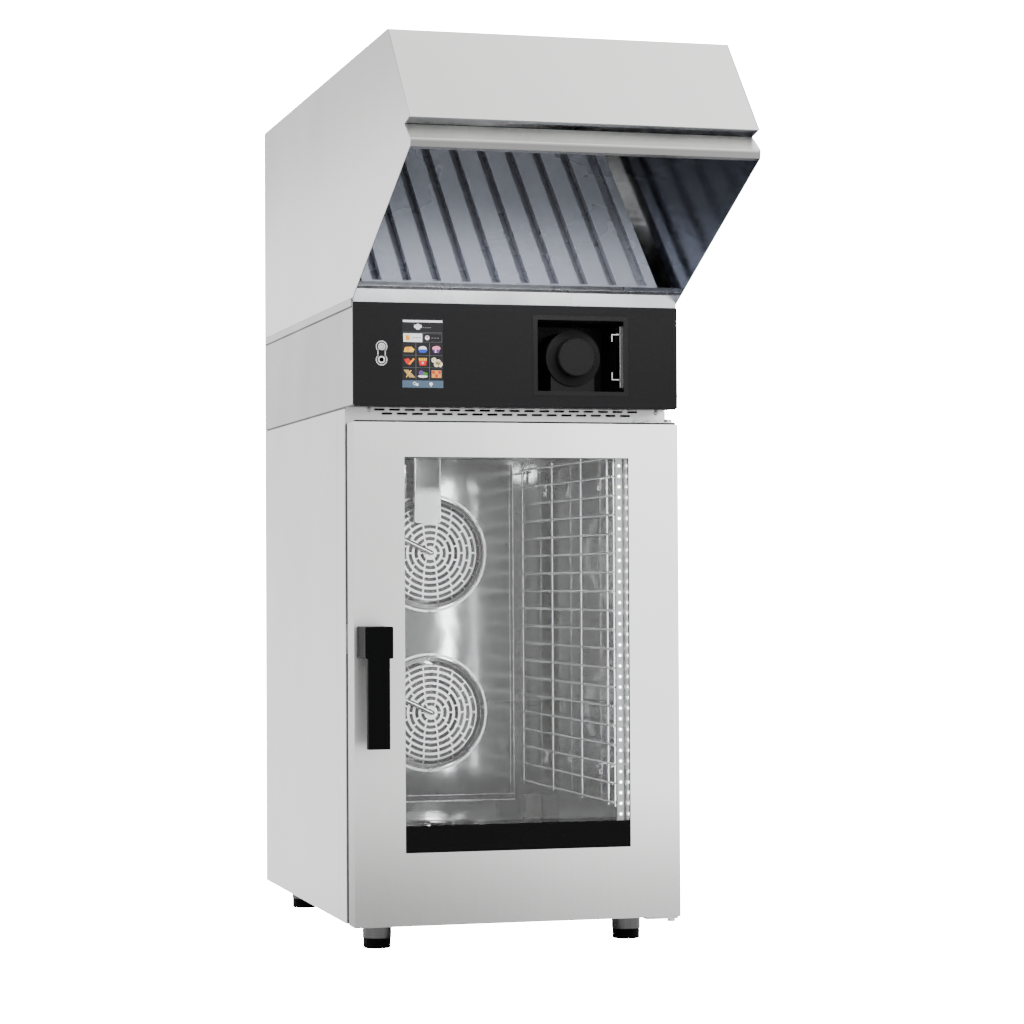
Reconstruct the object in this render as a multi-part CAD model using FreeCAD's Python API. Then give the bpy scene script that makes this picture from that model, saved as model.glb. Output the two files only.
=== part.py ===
"""Compact combi steamer oven with a condensing hood, as separate named pieces.

Millimetres, +Z up, the front faces -Y, and the origin is on the floor under the middle of the
object's bounding box. Distances called "back" are measured from the plane of the front panel.
"""
import FreeCAD, Part
import math
import os

Vector = FreeCAD.Vector

# ---------------------------------------------------------------- overall sizes
width = 519.0            # over the casing sides
body_depth = 745.0       # front panel to rear panel
foot_height = 43.0       # floor to the underside of the casing
door_height = 768.2
vent_height = 25.4       # gap between door and control panel
panel_height = 157.4     # control panel
hood_height = 370.0      # control panel top to hood top
hood_overhang = 385.0    # hood lip in front of the panel
rear_reach = 35.0        # pipe stubs behind the rear panel

# ---------------------------------------------------------------- casing
casing_sheet = 1.5
frame_sheet = 2.0
seam_gap = 0.8           # visible joint between two casing sheets
piece_gap = 0.3          # between pieces of different bodies
side_seam_back = 119.0   # joint between front frame and side panel
side_flange = 11.0
base_wall = 22.0
base_sheet = 1.5
pad_chamfer = 1.0

# ---------------------------------------------------------------- feet
foot_side_inset = 57.0
foot_front_back = 105.0
foot_rear_inset = 60.0
foot_radius = 22.5
foot_pad_height = 15.0
foot_pad_gap = 1.0
foot_stem_radius = 8.0
foot_stem_clearance = 0.08

# ---------------------------------------------------------------- door
door_thickness = 44.0
door_skin_depth = 37.4
door_sheet = 1.5
door_seam = 0.6
door_gap = 18.0          # between the closed door and the front frame
window_side_left = 79.5
window_side_right = 81.0
window_top_margin = 53.2
window_bottom_margin = 111.0
window_bar_sheet = 0.4
glass_cover = 12.0       # glass hidden behind the skin on each side
outer_glass = 5.0
inner_glass = 4.0
spacer_margin = 0.5
light_strip_width = 10.0
light_strip_depth = 5.0
light_strip_inset = 2.0

# ---------------------------------------------------------------- door hinge
hinge_side_inset = 8.5
hinge_back = 22.0
hinge_pin_radius = 4.0
hinge_clearance = 0.05
hinge_bush_wall = 3.0
hinge_bush_length = 18.0
hinge_plate = 3.0
hinge_plate_length = 52.0
hinge_nut_radius = 6.5
hinge_nut_height = 5.0

# ---------------------------------------------------------------- handle
handle_left_inset = 26.0     # spindle from the left edge
handle_head_width = 43.0
handle_head_height = 48.0
handle_head_depth = 60.0
handle_lever_width = 34.0
handle_lever_thickness = 15.0
handle_step = 0.8            # lever behind the head's front
handle_lever_length = 136.0
handle_spindle_height = 433.0   # above the door bottom
handle_spindle_radius = 6.0
handle_spindle_clearance = 0.06
handle_stand_off = 0.4
latch_cam_length = 22.0
latch_cam_thickness = 3.0
latch_cam_back = 3.5         # behind the closed door
keeper_sheet = 2.0

# ---------------------------------------------------------------- seals
gasket_width = 12.0
gasket_opening_margin = 2.0
gasket_bulb = 7.0
gasket_foot = 4.0
edge_seal_width = 12.0
edge_seal_depth = 11.0
edge_seal_inset = 1.0

# ---------------------------------------------------------------- cavity
cavity_side_wall = 66.5      # casing side to cavity
cavity_floor_rise = 112.0    # above the casing underside
cavity_roof_drop = 28.0      # below the door top
rear_compartment = 85.0      # cavity rear wall to rear panel
liner_sheet = 1.2
basin_margin_side = 48.0
basin_margin_end = 34.0
basin_depth = 6.0
insulation_side = 54.0
insulation_floor = 40.0
insulation_roof = 16.0
insulation_gap = 0.5
drain_radius = 19.0
drain_front = 150.0          # drain centre in front of the cavity rear wall
drain_basket_height = 8.0

# ---------------------------------------------------------------- fans
fan_upper_share = 0.7355     # fan centres as shares of the cavity height
fan_lower_share = 0.2945
baffle_side_gap = 42.0
baffle_bottom = 30.0         # above the cavity floor
baffle_top = 12.0            # below the cavity roof
baffle_front = 68.0          # baffle in front of the cavity rear wall
baffle_sheet = 1.2
baffle_return = 14.0
baffle_hole_radius = 90.0
stud_inset = 13.0
stud_radius = 5.0
stud_head = 5.0
guard_flange_radius = 103.0
guard_flat_radius = 82.0
guard_dish = 9.0
guard_sheet = 1.2
guard_ring_first = 15.0
guard_ring_pitch = 10.3
guard_ring_count = 8
guard_slot_width = 6.0
guard_web = 2.6              # metal between two slots of one ring
guard_slots_first = 6
guard_slots_step = 2
guard_rim_radius = 97.6
guard_rim_slot = 2.6
guard_rim_count = 10
wheel_radius = 84.0
wheel_depth = 40.0
wheel_eye_radius = 58.0
wheel_blades = 18
wheel_sheet = 1.5
wheel_front_clearance = 12.0
shaft_radius = 6.0
shaft_clearance = 0.06
hub_radius = 13.0
motor_radius = 46.0
motor_length = 62.0
heater_radius = 98.0
heater_rod = 3.6
heater_turns = 3
heater_pitch = 12.0
heater_bar = 8.0
heater_bar_turns = (45.0, 135.0)
inject_radius = 4.2
inject_side = 110.0
inject_rise = 53.0
inject_front = 22.0
duct_width = 46.0
duct_left = 33.0
duct_drop = 114.0
duct_depth = 9.0
duct_front = 26.0

# ---------------------------------------------------------------- racks
rack_wall_gap = 16.0
rack_wire = 2.2
rack_rail_wire = 2.0
rack_row_pitch = 30.3
rack_first_row = 62.0
rack_top_margin = 12.0
rack_posts_back = (14.0, 50.0, 196.0, 368.0, 556.0)
rack_weld = 0.5
rack_wire_end = 6.0
rack_pin_radius = 3.5
rack_pin_clearance = 0.4
rack_hook_width = 16.0
rack_hook_drop = 12.0
rack_pin_drop = 8.0          # below a level wire
rack_hook_sheet = 2.5
rack_hook_offset = 30.0
support_block_size = 28.0
support_block_height = 40.0

# ---------------------------------------------------------------- control panel
fascia_glass = 4.0
fascia_plate = 1.5
fascia_fit = 0.2
screen_left = 77.0
screen_width = 64.5
screen_bottom = 27.4
screen_top = 25.0
screen_glass = 3.0
button_left = 44.5
button_high = 89.4
socket_high = 69.4
surround_radius = 9.0
button_radius = 6.6
button_clearance = 0.3
button_proud = 2.2
button_length = 16.0
socket_hole = 3.2
surround_proud = 0.8
bay_right = 80.5
bay_width = 154.0
bay_bottom = 17.4
bay_top = 15.0
bay_bezel = 7.3
bay_depth = 120.0
bay_wall = 1.5
bezel_proud = 0.6
cartridge_radius = 30.5
cartridge_cap_depth = 14.0
cartridge_cap_back = 20.0
cartridge_neck_radius = 23.0
cartridge_neck_length = 8.0
cartridge_body_gap = 11.2   # cartridge body to the bay's roof and floor
cartridge_body_length = 60.0
cartridge_cradle_clearance = 0.4
clip_width = 15.0
clip_gap = 7.2              # bracket to the bay's roof and floor
clip_sheet = 1.5
clip_hook = 12.0
vent_slot_length = 17.0
vent_slot_height = 3.0
vent_slot_pitch = 24.1
vent_margin = 50.0
vent_row_high = 22.6
vent_overlap = 6.0           # behind the control panel
vent_row_step = 6.2
vent_sheet = 1.2

# ---------------------------------------------------------------- inside the casing
deck_fold = 12.0
board_bay_gap = 30.0
board_back = 10.0
board_depth = 46.0
board_thickness = 2.0
board_standoff = 8.0
cooler_side = 92.0
cooler_depth = 25.0
cooler_radius = 42.0
cooler_blades = 7
valve_size = 34.0
inlet_radius = 13.2
inlet_length = 20.0
inlet_nut = 4.0
outlet_radius = 20.0
outlet_wall = 1.5
outlet_rise = 44.0
outlet_collar_radius = 25.0
outlet_collar = 4.0
gland_radius = 14.0
gland_bore = 8.0
gland_length = 22.0
chimney_radius = 25.0
chimney_wall = 1.2
chimney_back = 470.0
louvre_length = 60.0
louvre_height = 4.0
louvre_pitch = 14.0
louvre_rows = 6
louvre_top = 70.0

# ---------------------------------------------------------------- hood
hood_sheet = 1.5
hood_flange_rise = 6.0       # hood flange top above the control panel top
hood_flange_height = 13.0
strip_height = 20.0
strip_return = 9.0
tray_depth = 130.0
lip_height = 192.0           # fold of the lip above the control panel top
lip_face = 12.0
lip_panel_rise = 24.0
lip_panel_back = 34.0
lip_return = 24.0
visor_gap = 6.0
visor_setback = 4.0
visor_return = 20.0
visor_top_back = 138.0       # visor top behind the lip fold
visor_depth = 44.0
filter_lean = 48.0           # degrees from upright
filter_headroom = 45.0
filter_side_gap = 20.0
filter_thickness = 26.0
filter_sheet = 1.2
filter_border = 16.0
filter_front = 22.0
filter_rise = 27.0
filter_lift = 12.0
slat_pitch = 47.4
slat_face = 33.0
slat_flange = 11.0
slat_sheet = 0.8
rail_sheet = 1.5
rail_lip = 9.0
rail_clearance = 0.5
blower_radius = 82.0
blower_wheel_radius = 72.0
blower_eye_radius = 52.0
blower_wheel_depth = 42.0
blower_wall = 1.5
blower_rise = 140.0          # centre above the control panel top
blower_depth = 56.0
blower_rear_gap = 4.0
blower_stand = 80.0
blower_motor_radius = 34.0
blower_motor_length = 36.0

# ---------------------------------------------------------------- places worked out from the sizes
total_depth = hood_overhang + body_depth + rear_reach
face_y = hood_overhang - total_depth / 2
rear_y = face_y + body_depth
side_x = width / 2
door_bottom = foot_height
door_top = door_bottom + door_height
panel_bottom = door_top + vent_height
panel_top = panel_bottom + panel_height
hood_top = panel_top + hood_height
frame_y = face_y + door_thickness + door_gap
seam_y = face_y + side_seam_back
rear_inner_y = rear_y - casing_sheet

cavity_x = side_x - cavity_side_wall
cavity_floor = foot_height + cavity_floor_rise
cavity_roof = door_top - cavity_roof_drop
cavity_height = cavity_roof - cavity_floor
cavity_rear = rear_y - rear_compartment
cavity_depth = cavity_rear - frame_y
baffle_x = cavity_x - baffle_side_gap
baffle_y = cavity_rear - baffle_front
fan_heights = {"upper": cavity_floor + fan_upper_share * cavity_height,
               "lower": cavity_floor + fan_lower_share * cavity_height}

window_left = -side_x + window_side_left
window_right = side_x - window_side_right
window_bottom = door_bottom + window_bottom_margin
window_top = door_top - window_top_margin
glass_y = face_y + door_sheet + window_bar_sheet
spacer_y = glass_y + outer_glass
door_back_y = face_y + door_skin_depth + door_seam
inner_glass_y = door_back_y - inner_glass

hinge_x = side_x - hinge_side_inset
hinge_y = face_y + hinge_back
handle_x = -side_x + handle_left_inset
handle_z = door_bottom + handle_spindle_height

button_x = -side_x + button_left
button_z = panel_bottom + button_high
socket_z = panel_bottom + socket_high
screen_x = -side_x + screen_left
screen_z = panel_bottom + screen_bottom
screen_height = panel_height - screen_bottom - screen_top
bay_x1 = side_x - bay_right
bay_x0 = bay_x1 - bay_width
bay_z0 = panel_bottom + bay_bottom
bay_z1 = panel_top - bay_top
cartridge_x = (bay_x0 + bay_x1) / 2
cartridge_z = (bay_z0 + bay_z1) / 2
bay_inner_height = bay_z1 - bay_z0 - 2 * bay_bezel
cartridge_body_radius = bay_inner_height / 2 - cartridge_body_gap
clip_height = bay_inner_height - 2 * clip_gap

hood_base = panel_top + hood_flange_rise - hood_flange_height
hood_floor = panel_top + hood_flange_rise
lip_y = face_y - hood_overhang
lip_z = panel_top + lip_height
visor_low_y = lip_y + visor_setback
visor_low_z = lip_z + lip_panel_rise + visor_gap
visor_top_y = lip_y + visor_top_back
inner_x = side_x - hood_sheet
lean = math.radians(filter_lean)
filter_length = (hood_height - filter_rise - filter_headroom) / math.cos(lean)
filter_x = inner_x - filter_side_gap


# ---------------------------------------------------------------- shape helpers
def box(x0, x1, y0, y1, z0, z1):
    """A solid block between two corners."""
    return Part.makeBox(x1 - x0, y1 - y0, z1 - z0, Vector(x0, y0, z0))


def rod(start, direction, radius, length):
    """A solid cylinder from start along direction."""
    return Part.makeCylinder(radius, length, Vector(*start), Vector(*direction))


def tube(start, direction, radius, bore, length):
    """A cylinder with a through hole."""
    return rod(start, direction, radius, length).cut(rod(start, direction, bore, length))


def rod_between(start, end, radius):
    """A solid cylinder between two points."""
    run = Vector(*end) - Vector(*start)
    return Part.makeCylinder(radius, run.Length, Vector(*start), run)


def prism_x(outline, x0, x1):
    """A closed (y, z) outline drawn out along X."""
    points = [Vector(x0, y, z) for y, z in outline]
    face = Part.Face(Part.makePolygon(points + points[:1]))
    return face.extrude(Vector(x1 - x0, 0, 0))


def prism_z(outline, z0, z1):
    """A closed (x, y) outline drawn out along Z."""
    points = [Vector(x, y, z0) for x, y in outline]
    face = Part.Face(Part.makePolygon(points + points[:1]))
    return face.extrude(Vector(0, 0, z1 - z0))


def folded(path, thickness):
    """The outline of a sheet folded along a path, with its thickness on the left of the path."""
    offset = []
    for i, (a, b) in enumerate(path):
        normals = []
        for j, k in ((i - 1, i), (i, i + 1)):
            if j >= 0 and k < len(path):
                run = math.hypot(path[k][0] - path[j][0], path[k][1] - path[j][1])
                normals.append((-(path[k][1] - path[j][1]) / run, (path[k][0] - path[j][0]) / run))
        na = sum(n[0] for n in normals) / len(normals)
        nb = sum(n[1] for n in normals) / len(normals)
        scale = thickness / (na * na + nb * nb)
        offset.append((a + na * scale, b + nb * scale))
    return list(path) + offset[::-1]


def frame_ring(outer, inner, y0, y1):
    """A rectangular ring in the XZ plane; outer and inner are (x0, x1, z0, z1)."""
    ox0, ox1, oz0, oz1 = outer
    ix0, ix1, iz0, iz1 = inner
    return box(ox0, ox1, y0, y1, oz0, oz1).cut(box(ix0, ix1, y0, y1, iz0, iz1))


def fuse(shapes):
    """One solid from several that overlap or share faces."""
    joined = shapes[0].multiFuse(shapes[1:])
    return joined.removeSplitter()


def hexagon(centre, radius, z0, z1):
    """A hexagonal prism across-corners radius, standing along Z."""
    corners = [(centre[0] + radius * math.cos(math.radians(60 * i)),
                centre[1] + radius * math.sin(math.radians(60 * i))) for i in range(6)]
    return prism_z(corners, z0, z1)


def slot_x(x, y0, y1, z, length, height):
    """A round-ended slot along X, cut through in Y."""
    half = length / 2 - height / 2
    return fuse([
        box(x - half, x + half, y0, y1, z - height / 2, z + height / 2),
        rod((x - half, y0, z), (0, 1, 0), height / 2, y1 - y0),
        rod((x + half, y0, z), (0, 1, 0), height / 2, y1 - y0),
    ])


def ring_sector(x, z, y0, y1, radius, slot, start, sweep):
    """One arc slot about (x, z), start and sweep in degrees."""
    outer = Part.makeCylinder(radius + slot / 2, y1 - y0, Vector(0, 0, 0), Vector(0, 0, 1), sweep)
    inner = Part.makeCylinder(radius - slot / 2, y1 - y0, Vector(0, 0, 0), Vector(0, 0, 1), 360)
    piece = outer.cut(inner)
    piece.rotate(Vector(0, 0, 0), Vector(0, 0, 1), start)
    piece.rotate(Vector(0, 0, 0), Vector(1, 0, 0), 90)
    piece.translate(Vector(x, y1, z))
    return piece


# ---------------------------------------------------------------- casing
def foot_places():
    """(name, x, y) of the four feet."""
    front = face_y + foot_front_back
    rear = rear_y - foot_rear_inset
    x = side_x - foot_side_inset
    return [("front_left", -x, front), ("front_right", x, front),
            ("rear_left", -x, rear), ("rear_right", x, rear)]


def base_pan():
    """Bottom tray of the casing with upturned walls and holes for the foot stems."""
    x = side_x - casing_sheet
    y0 = frame_y + frame_sheet
    y1 = rear_inner_y
    z = foot_height
    tray = box(-x, x, y0, y1, z, z + base_wall)
    tray = tray.cut(box(-x + base_sheet, x - base_sheet, y0 + base_sheet, y1 - base_sheet,
                        z + base_sheet, z + base_wall))
    for _, fx, fy in foot_places():
        tray = tray.cut(rod((fx, fy, z), (0, 0, 1), foot_stem_radius + 1.0, base_sheet))
    return tray


def side_panel(side):
    """Outer side sheet, from the seam behind the front frame to the rear, with a front return."""
    outer = side * side_x
    inner = side * (side_x - casing_sheet)
    fold = side * (side_x - side_flange)
    y0 = seam_y + seam_gap / 2
    z1 = panel_bottom - seam_gap
    sheet = prism_z([(outer, y0), (outer, rear_y), (inner, rear_y), (inner, y0)], foot_height, z1)
    edge = prism_z([(inner, y0), (inner, y0 + casing_sheet), (fold, y0 + casing_sheet), (fold, y0)],
                   foot_height + base_wall, z1)
    return fuse([sheet, edge])


def front_frame():
    """Front frame: the face around the cavity, side returns back to the seam and the latch keeper."""
    t = liner_sheet
    face = frame_ring((-side_x, side_x, foot_height, door_top),
                      (-cavity_x - t, cavity_x + t, cavity_floor - t, cavity_roof + t),
                      frame_y, frame_y + frame_sheet)
    y1 = seam_y - seam_gap / 2
    z1 = panel_bottom - seam_gap
    left = box(-side_x, -side_x + casing_sheet, frame_y, y1, foot_height, z1)
    right = box(side_x - casing_sheet, side_x, frame_y, y1, foot_height, z1)
    return fuse([face, left, right, latch_keeper()])


def vent_strip():
    """Recessed strip above the door with two staggered rows of slots."""
    x = side_x - casing_sheet
    strip = box(-x, x, frame_y, frame_y + vent_sheet, door_top + seam_gap, panel_bottom + vent_overlap)
    count = int((width - 2 * vent_margin) / vent_slot_pitch) + 1
    cuts = []
    for row, number in ((0, count), (1, count - 1)):
        z = door_top + vent_row_high - row * vent_row_step
        for i in range(number):
            mid = (i - (number - 1) / 2) * vent_slot_pitch
            cuts.append(slot_x(mid, frame_y - 1, frame_y + vent_sheet + 1, z,
                               vent_slot_length, vent_slot_height))
    return strip.cut(Part.makeCompound(cuts))


def upper_casing():
    """Cover of the control compartment: sides, rear with cooling slots, and the deck on top."""
    t = casing_sheet
    z0 = panel_bottom
    z1 = hood_base - seam_gap
    y0 = face_y + fascia_glass + fascia_plate
    x = side_x - t
    outer = [(-side_x, y0), (-side_x, rear_y), (side_x, rear_y), (side_x, y0)]
    inner = [(x, y0), (x, rear_y - t), (-x, rear_y - t), (-x, y0)]
    shell = prism_z(outer + inner, z0, z1)
    deck_top = panel_top - piece_gap
    deck = box(-x, x, y0, rear_y - t, z1 - deck_fold, deck_top)
    deck = deck.cut(box(-x + t, x - t, y0 - 1, rear_y - 2 * t, z1 - deck_fold - 1, deck_top - t))
    deck = deck.cut(rod((0, face_y + chimney_back, z1), (0, 0, 1), chimney_radius + 1.0, 20.0))
    cooler_x, cooler_z = cooler_place()
    slots = [slot_x(cooler_x, rear_y - 2 * t, rear_y + 1, cooler_z + i * louvre_pitch * 0.7,
                    louvre_length, louvre_height) for i in range(-3, 4)]
    return fuse([shell, deck]).cut(Part.makeCompound(slots))


def rear_panel():
    """Lower rear sheet with the pipe holes and louvres."""
    x = side_x - casing_sheet
    panel = box(-x, x, rear_inner_y, rear_y, foot_height, panel_bottom - seam_gap)
    drain = outlet_place()
    inlet = inlet_place()
    gland = gland_place()
    panel = panel.cut(rod((drain[0], rear_inner_y - 1, drain[2]), (0, 1, 0), outlet_radius + 0.5, 5))
    panel = panel.cut(rod((inlet[0], rear_inner_y - 1, inlet[2]), (0, 1, 0), inlet_radius + 0.5, 5))
    panel = panel.cut(rod((gland[0], rear_inner_y - 1, gland[2]), (0, 1, 0), gland_bore + 1.0, 5))
    cuts = []
    for i in range(louvre_rows):
        for x in (-100.0, 0.0, 100.0):
            cuts.append(slot_x(x, rear_inner_y - 1, rear_y + 1,
                               cavity_roof - 60.0 - i * louvre_pitch, louvre_length, louvre_height))
    return panel.cut(Part.makeCompound(cuts))


def foot_sleeve(x, y):
    """Steel sleeve under the casing that the foot's stem screws into."""
    z0 = foot_pad_height + foot_pad_gap
    return tube((x, y, z0), (0, 0, 1), foot_radius, foot_stem_radius + foot_stem_clearance,
                foot_height - z0)


def foot_pad(x, y):
    """Levelling pad with its stem."""
    pad = rod((x, y, 0), (0, 0, 1), foot_radius - 1.0, foot_pad_height)
    edge = [e for e in pad.Edges if abs(e.BoundBox.ZMax) < 0.01]
    pad = pad.makeChamfer(pad_chamfer, edge)
    stem = rod((x, y, foot_pad_height - 1), (0, 0, 1), foot_stem_radius,
               foot_height - foot_pad_height + base_sheet)
    return fuse([pad, stem])


# ---------------------------------------------------------------- door
def window_box(grow):
    """(x0, x1, z0, z1) of the window, grown on each side."""
    return (window_left - grow, window_right + grow, window_bottom - grow, window_top + grow)


def door_skin():
    """Front pan of the door with the window opening and four side walls."""
    outer = box(-side_x, side_x, face_y, face_y + door_skin_depth, door_bottom, door_top)
    hollow = box(-side_x + door_sheet, side_x - door_sheet, face_y + door_sheet,
                 face_y + door_skin_depth, door_bottom + door_sheet, door_top - door_sheet)
    skin = outer.cut(hollow)
    x0, x1, z0, z1 = window_box(0)
    skin = skin.cut(box(x0, x1, face_y - 1, face_y + door_sheet + 1, z0, z1))
    for z in (door_bottom, door_top - door_sheet):
        skin = skin.cut(rod((hinge_x, hinge_y, z), (0, 0, 1),
                            hinge_pin_radius + hinge_bush_wall, door_sheet))
    return skin.cut(rod((handle_x, face_y - 1, handle_z), (0, 1, 0),
                        handle_spindle_radius + 0.5, door_sheet + 2))


def door_back():
    """Rear frame of the door, around the inner glass."""
    t = door_sheet
    y1 = face_y + door_thickness
    ring = frame_ring((-side_x, side_x, door_bottom, door_top), window_box(0), door_back_y, y1)
    hollow = frame_ring((-side_x + t, side_x - t, door_bottom + t, door_top - t), window_box(t),
                        door_back_y, y1 - t)
    ring = ring.cut(hollow)
    return ring.cut(rod((handle_x, y1 - 5, handle_z), (0, 1, 0), handle_spindle_radius + 0.5, 10))


def door_spacer():
    """Dark ring that keeps the two panes apart."""
    return frame_ring(window_box(glass_cover), window_box(spacer_margin), spacer_y, inner_glass_y)


def outer_pane():
    """Outer door glass."""
    x0, x1, z0, z1 = window_box(glass_cover)
    return box(x0, x1, glass_y, glass_y + outer_glass, z0, z1)


def inner_pane():
    """Inner door glass, towards the cavity."""
    x0, x1, z0, z1 = window_box(glass_cover)
    return box(x0, x1, inner_glass_y, inner_glass_y + inner_glass, z0, z1)


def light_strip():
    """LED strip standing between the panes at the hinge side of the window."""
    x1 = window_right - light_strip_inset
    y0 = inner_glass_y - light_strip_depth
    return box(x1 - light_strip_width, x1, y0, inner_glass_y,
               window_bottom - spacer_margin, window_top + spacer_margin)


def hinge_bush(z0):
    """Bush inside the door that turns on a hinge pin."""
    return tube((hinge_x, hinge_y, z0), (0, 0, 1), hinge_pin_radius + hinge_bush_wall,
                hinge_pin_radius + hinge_clearance, hinge_bush_length)


def hinge_bracket(name):
    """Plate from the front frame to a hinge pin, above or below the door."""
    if name == "upper":
        z0 = door_top + piece_gap + 1.0
        wall = 0.0
    else:
        z0 = door_bottom - piece_gap - 1.0 - hinge_plate
        wall = base_wall / 2
    x0 = side_x - hinge_plate_length
    x1 = side_x - 1.0
    y0 = face_y + hinge_back - 12.0
    plate = box(x0, x1, y0, frame_y, z0, z0 + hinge_plate)
    if name == "lower":
        plate = fuse([plate, box(x0, x1, frame_y - hinge_plate, frame_y, z0, z0 + wall)])
    else:
        plate = fuse([plate, box(x0, x1, frame_y - hinge_plate, frame_y, z0, z0 + hinge_plate + 6.0)])
    return plate.cut(rod((hinge_x, hinge_y, z0 - 1), (0, 0, 1), hinge_pin_radius, hinge_plate + 2))


def hinge_pin(name):
    """Pin that stands in its bracket and reaches into the door's bush, with its nut."""
    reach = hinge_bush_length - 3.0
    if name == "upper":
        z0 = door_top + piece_gap + 1.0
        pin = rod((hinge_x, hinge_y, door_top - reach), (0, 0, 1), hinge_pin_radius,
                  reach + piece_gap + 1.0 + hinge_plate)
        nut = hexagon((hinge_x, hinge_y), hinge_nut_radius, z0 + hinge_plate,
                      z0 + hinge_plate + hinge_nut_height)
    else:
        z0 = door_bottom - piece_gap - 1.0 - hinge_plate
        pin = rod((hinge_x, hinge_y, z0), (0, 0, 1), hinge_pin_radius,
                  reach + piece_gap + 1.0 + hinge_plate)
        nut = hexagon((hinge_x, hinge_y), hinge_nut_radius, z0 - hinge_nut_height, z0)
    return fuse([pin, nut])


def ring_gasket():
    """Soft seal on the front frame around the cavity opening: a flat foot and a raised bulb."""
    opening = (-cavity_x, cavity_x, cavity_floor, cavity_roof)

    def ring(out, into, depth):
        outer = (opening[0] - out, opening[1] + out, opening[2] - out, opening[3] + out)
        inner = (opening[0] - into, opening[1] + into, opening[2] - into, opening[3] + into)
        return frame_ring(outer, inner, frame_y - depth, frame_y)

    near = gasket_opening_margin
    far = near + gasket_width
    side = (gasket_width - gasket_bulb) / 2
    return fuse([ring(far, near, gasket_foot), ring(far - side, near + side, door_gap - piece_gap)])


def edge_seal():
    """Flat dark strip around the rim of the front frame, behind the door's edge."""
    inset = edge_seal_inset
    outer = (-side_x + inset, side_x - inset, foot_height + inset, door_top - inset)
    inner = (outer[0] + edge_seal_width, outer[1] - edge_seal_width,
             outer[2] + edge_seal_width, outer[3] - edge_seal_width)
    ring = frame_ring(outer, inner, frame_y - edge_seal_depth, frame_y)
    ring = ring.cut(box(side_x - hinge_plate_length - 1.0, side_x, frame_y - door_gap, frame_y,
                        foot_height - 1, foot_height + base_wall / 2 + 1.0))
    x1 = keeper_box()[1] + 1.0
    z0, z1 = keeper_box()[4:]
    return ring.cut(box(-side_x, x1, frame_y - door_gap, frame_y, z0 - 1.0, z1 + 1.0))


# ---------------------------------------------------------------- handle and latch
def handle_grip():
    """Square head around the spindle with the grip that hangs from it, away from the door."""
    w = handle_head_width / 2
    h = handle_head_height / 2
    y0 = face_y - handle_head_depth
    head = box(handle_x - w, handle_x + w, y0, face_y - handle_stand_off, handle_z - h, handle_z + h)
    head = head.makeFillet(2.0, [e for e in head.Edges if e.BoundBox.YLength > 10])
    w = handle_lever_width / 2
    lever = box(handle_x - w, handle_x + w, y0 + handle_step, y0 + handle_step + handle_lever_thickness,
                handle_z - h - handle_lever_length, handle_z)
    lever = lever.makeFillet(2.5, [e for e in lever.Edges if e.BoundBox.ZLength > 50])
    return fuse([head, lever])


def latch_spindle():
    """Spindle from the head through the door, with the latch tongue behind it."""
    y1 = face_y + door_thickness + latch_cam_back
    spindle = rod((handle_x, face_y - handle_stand_off, handle_z), (0, 1, 0),
                  handle_spindle_radius, y1 - face_y + handle_stand_off + 1.0)
    w = handle_spindle_radius + 3.0
    tongue = box(handle_x - w, handle_x + w, y1, y1 + latch_cam_thickness,
                 handle_z - w, handle_z + latch_cam_length)
    edges = [e for e in tongue.Edges if e.BoundBox.YLength > 1]
    return fuse([spindle, tongue.makeFillet(4.0, edges)])


def spindle_bush():
    """Bearing of the spindle inside the door."""
    return tube((handle_x, face_y + door_sheet, handle_z), (0, 1, 0), handle_spindle_radius + 4.0,
                handle_spindle_radius + handle_spindle_clearance, door_skin_depth)


def keeper_box():
    """(x0, x1, y0, y1, z0, z1) of the latch keeper on the front frame."""
    w = handle_spindle_radius + 8.0
    y0 = face_y + door_thickness + latch_cam_back + latch_cam_thickness + 1.0
    return (handle_x - w, handle_x + w, y0, frame_y,
            handle_z - w - 4.0, handle_z + latch_cam_length + 4.0)


def latch_keeper():
    """Keeper plate that the latch tongue bears on."""
    x0, x1, y0, y1, z0, z1 = keeper_box()
    plate = box(x0, x1, y0, y1, z0, z1)
    return plate.cut(box(x0 + keeper_sheet, x1 - keeper_sheet, y0 + keeper_sheet, y1,
                         z0 + keeper_sheet, z1 - keeper_sheet))


# ---------------------------------------------------------------- cavity
def drain_place():
    """(x, y) of the cavity drain."""
    return (0.0, cavity_rear - drain_front)


def cavity_liner():
    """Stainless cavity: walls, roof, sunk floor, and the welded rack pins and corner blocks."""
    t = liner_sheet
    outer = box(-cavity_x - t, cavity_x + t, frame_y, cavity_rear + t,
                cavity_floor - t, cavity_roof + t)
    inner = box(-cavity_x, cavity_x, frame_y, cavity_rear, cavity_floor, cavity_roof)
    bx = cavity_x - basin_margin_side
    y0 = frame_y + basin_margin_end
    y1 = cavity_rear - baffle_front - basin_margin_end / 2
    z0 = cavity_floor - basin_depth
    basin_outer = box(-bx - t, bx + t, y0 - t, y1 + t, z0 - t, cavity_floor)
    basin_inner = box(-bx, bx, y0, y1, z0, cavity_floor)
    liner = fuse([outer, basin_outer]).cut(fuse([inner, basin_inner]))
    for z in fan_heights.values():
        liner = liner.cut(rod((0, cavity_rear - 1, z), (0, 1, 0), shaft_radius + 2.0, t + 2))
    dx, dy = drain_place()
    liner = liner.cut(rod((dx, dy, z0 - 5), (0, 0, 1), drain_radius, 10))
    liner = liner.cut(rod((0, face_y + chimney_back, cavity_roof - 1), (0, 0, 1),
                          chimney_radius - chimney_wall, t + 2))
    return fuse([liner] + rack_pins() + rack_supports())


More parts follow.
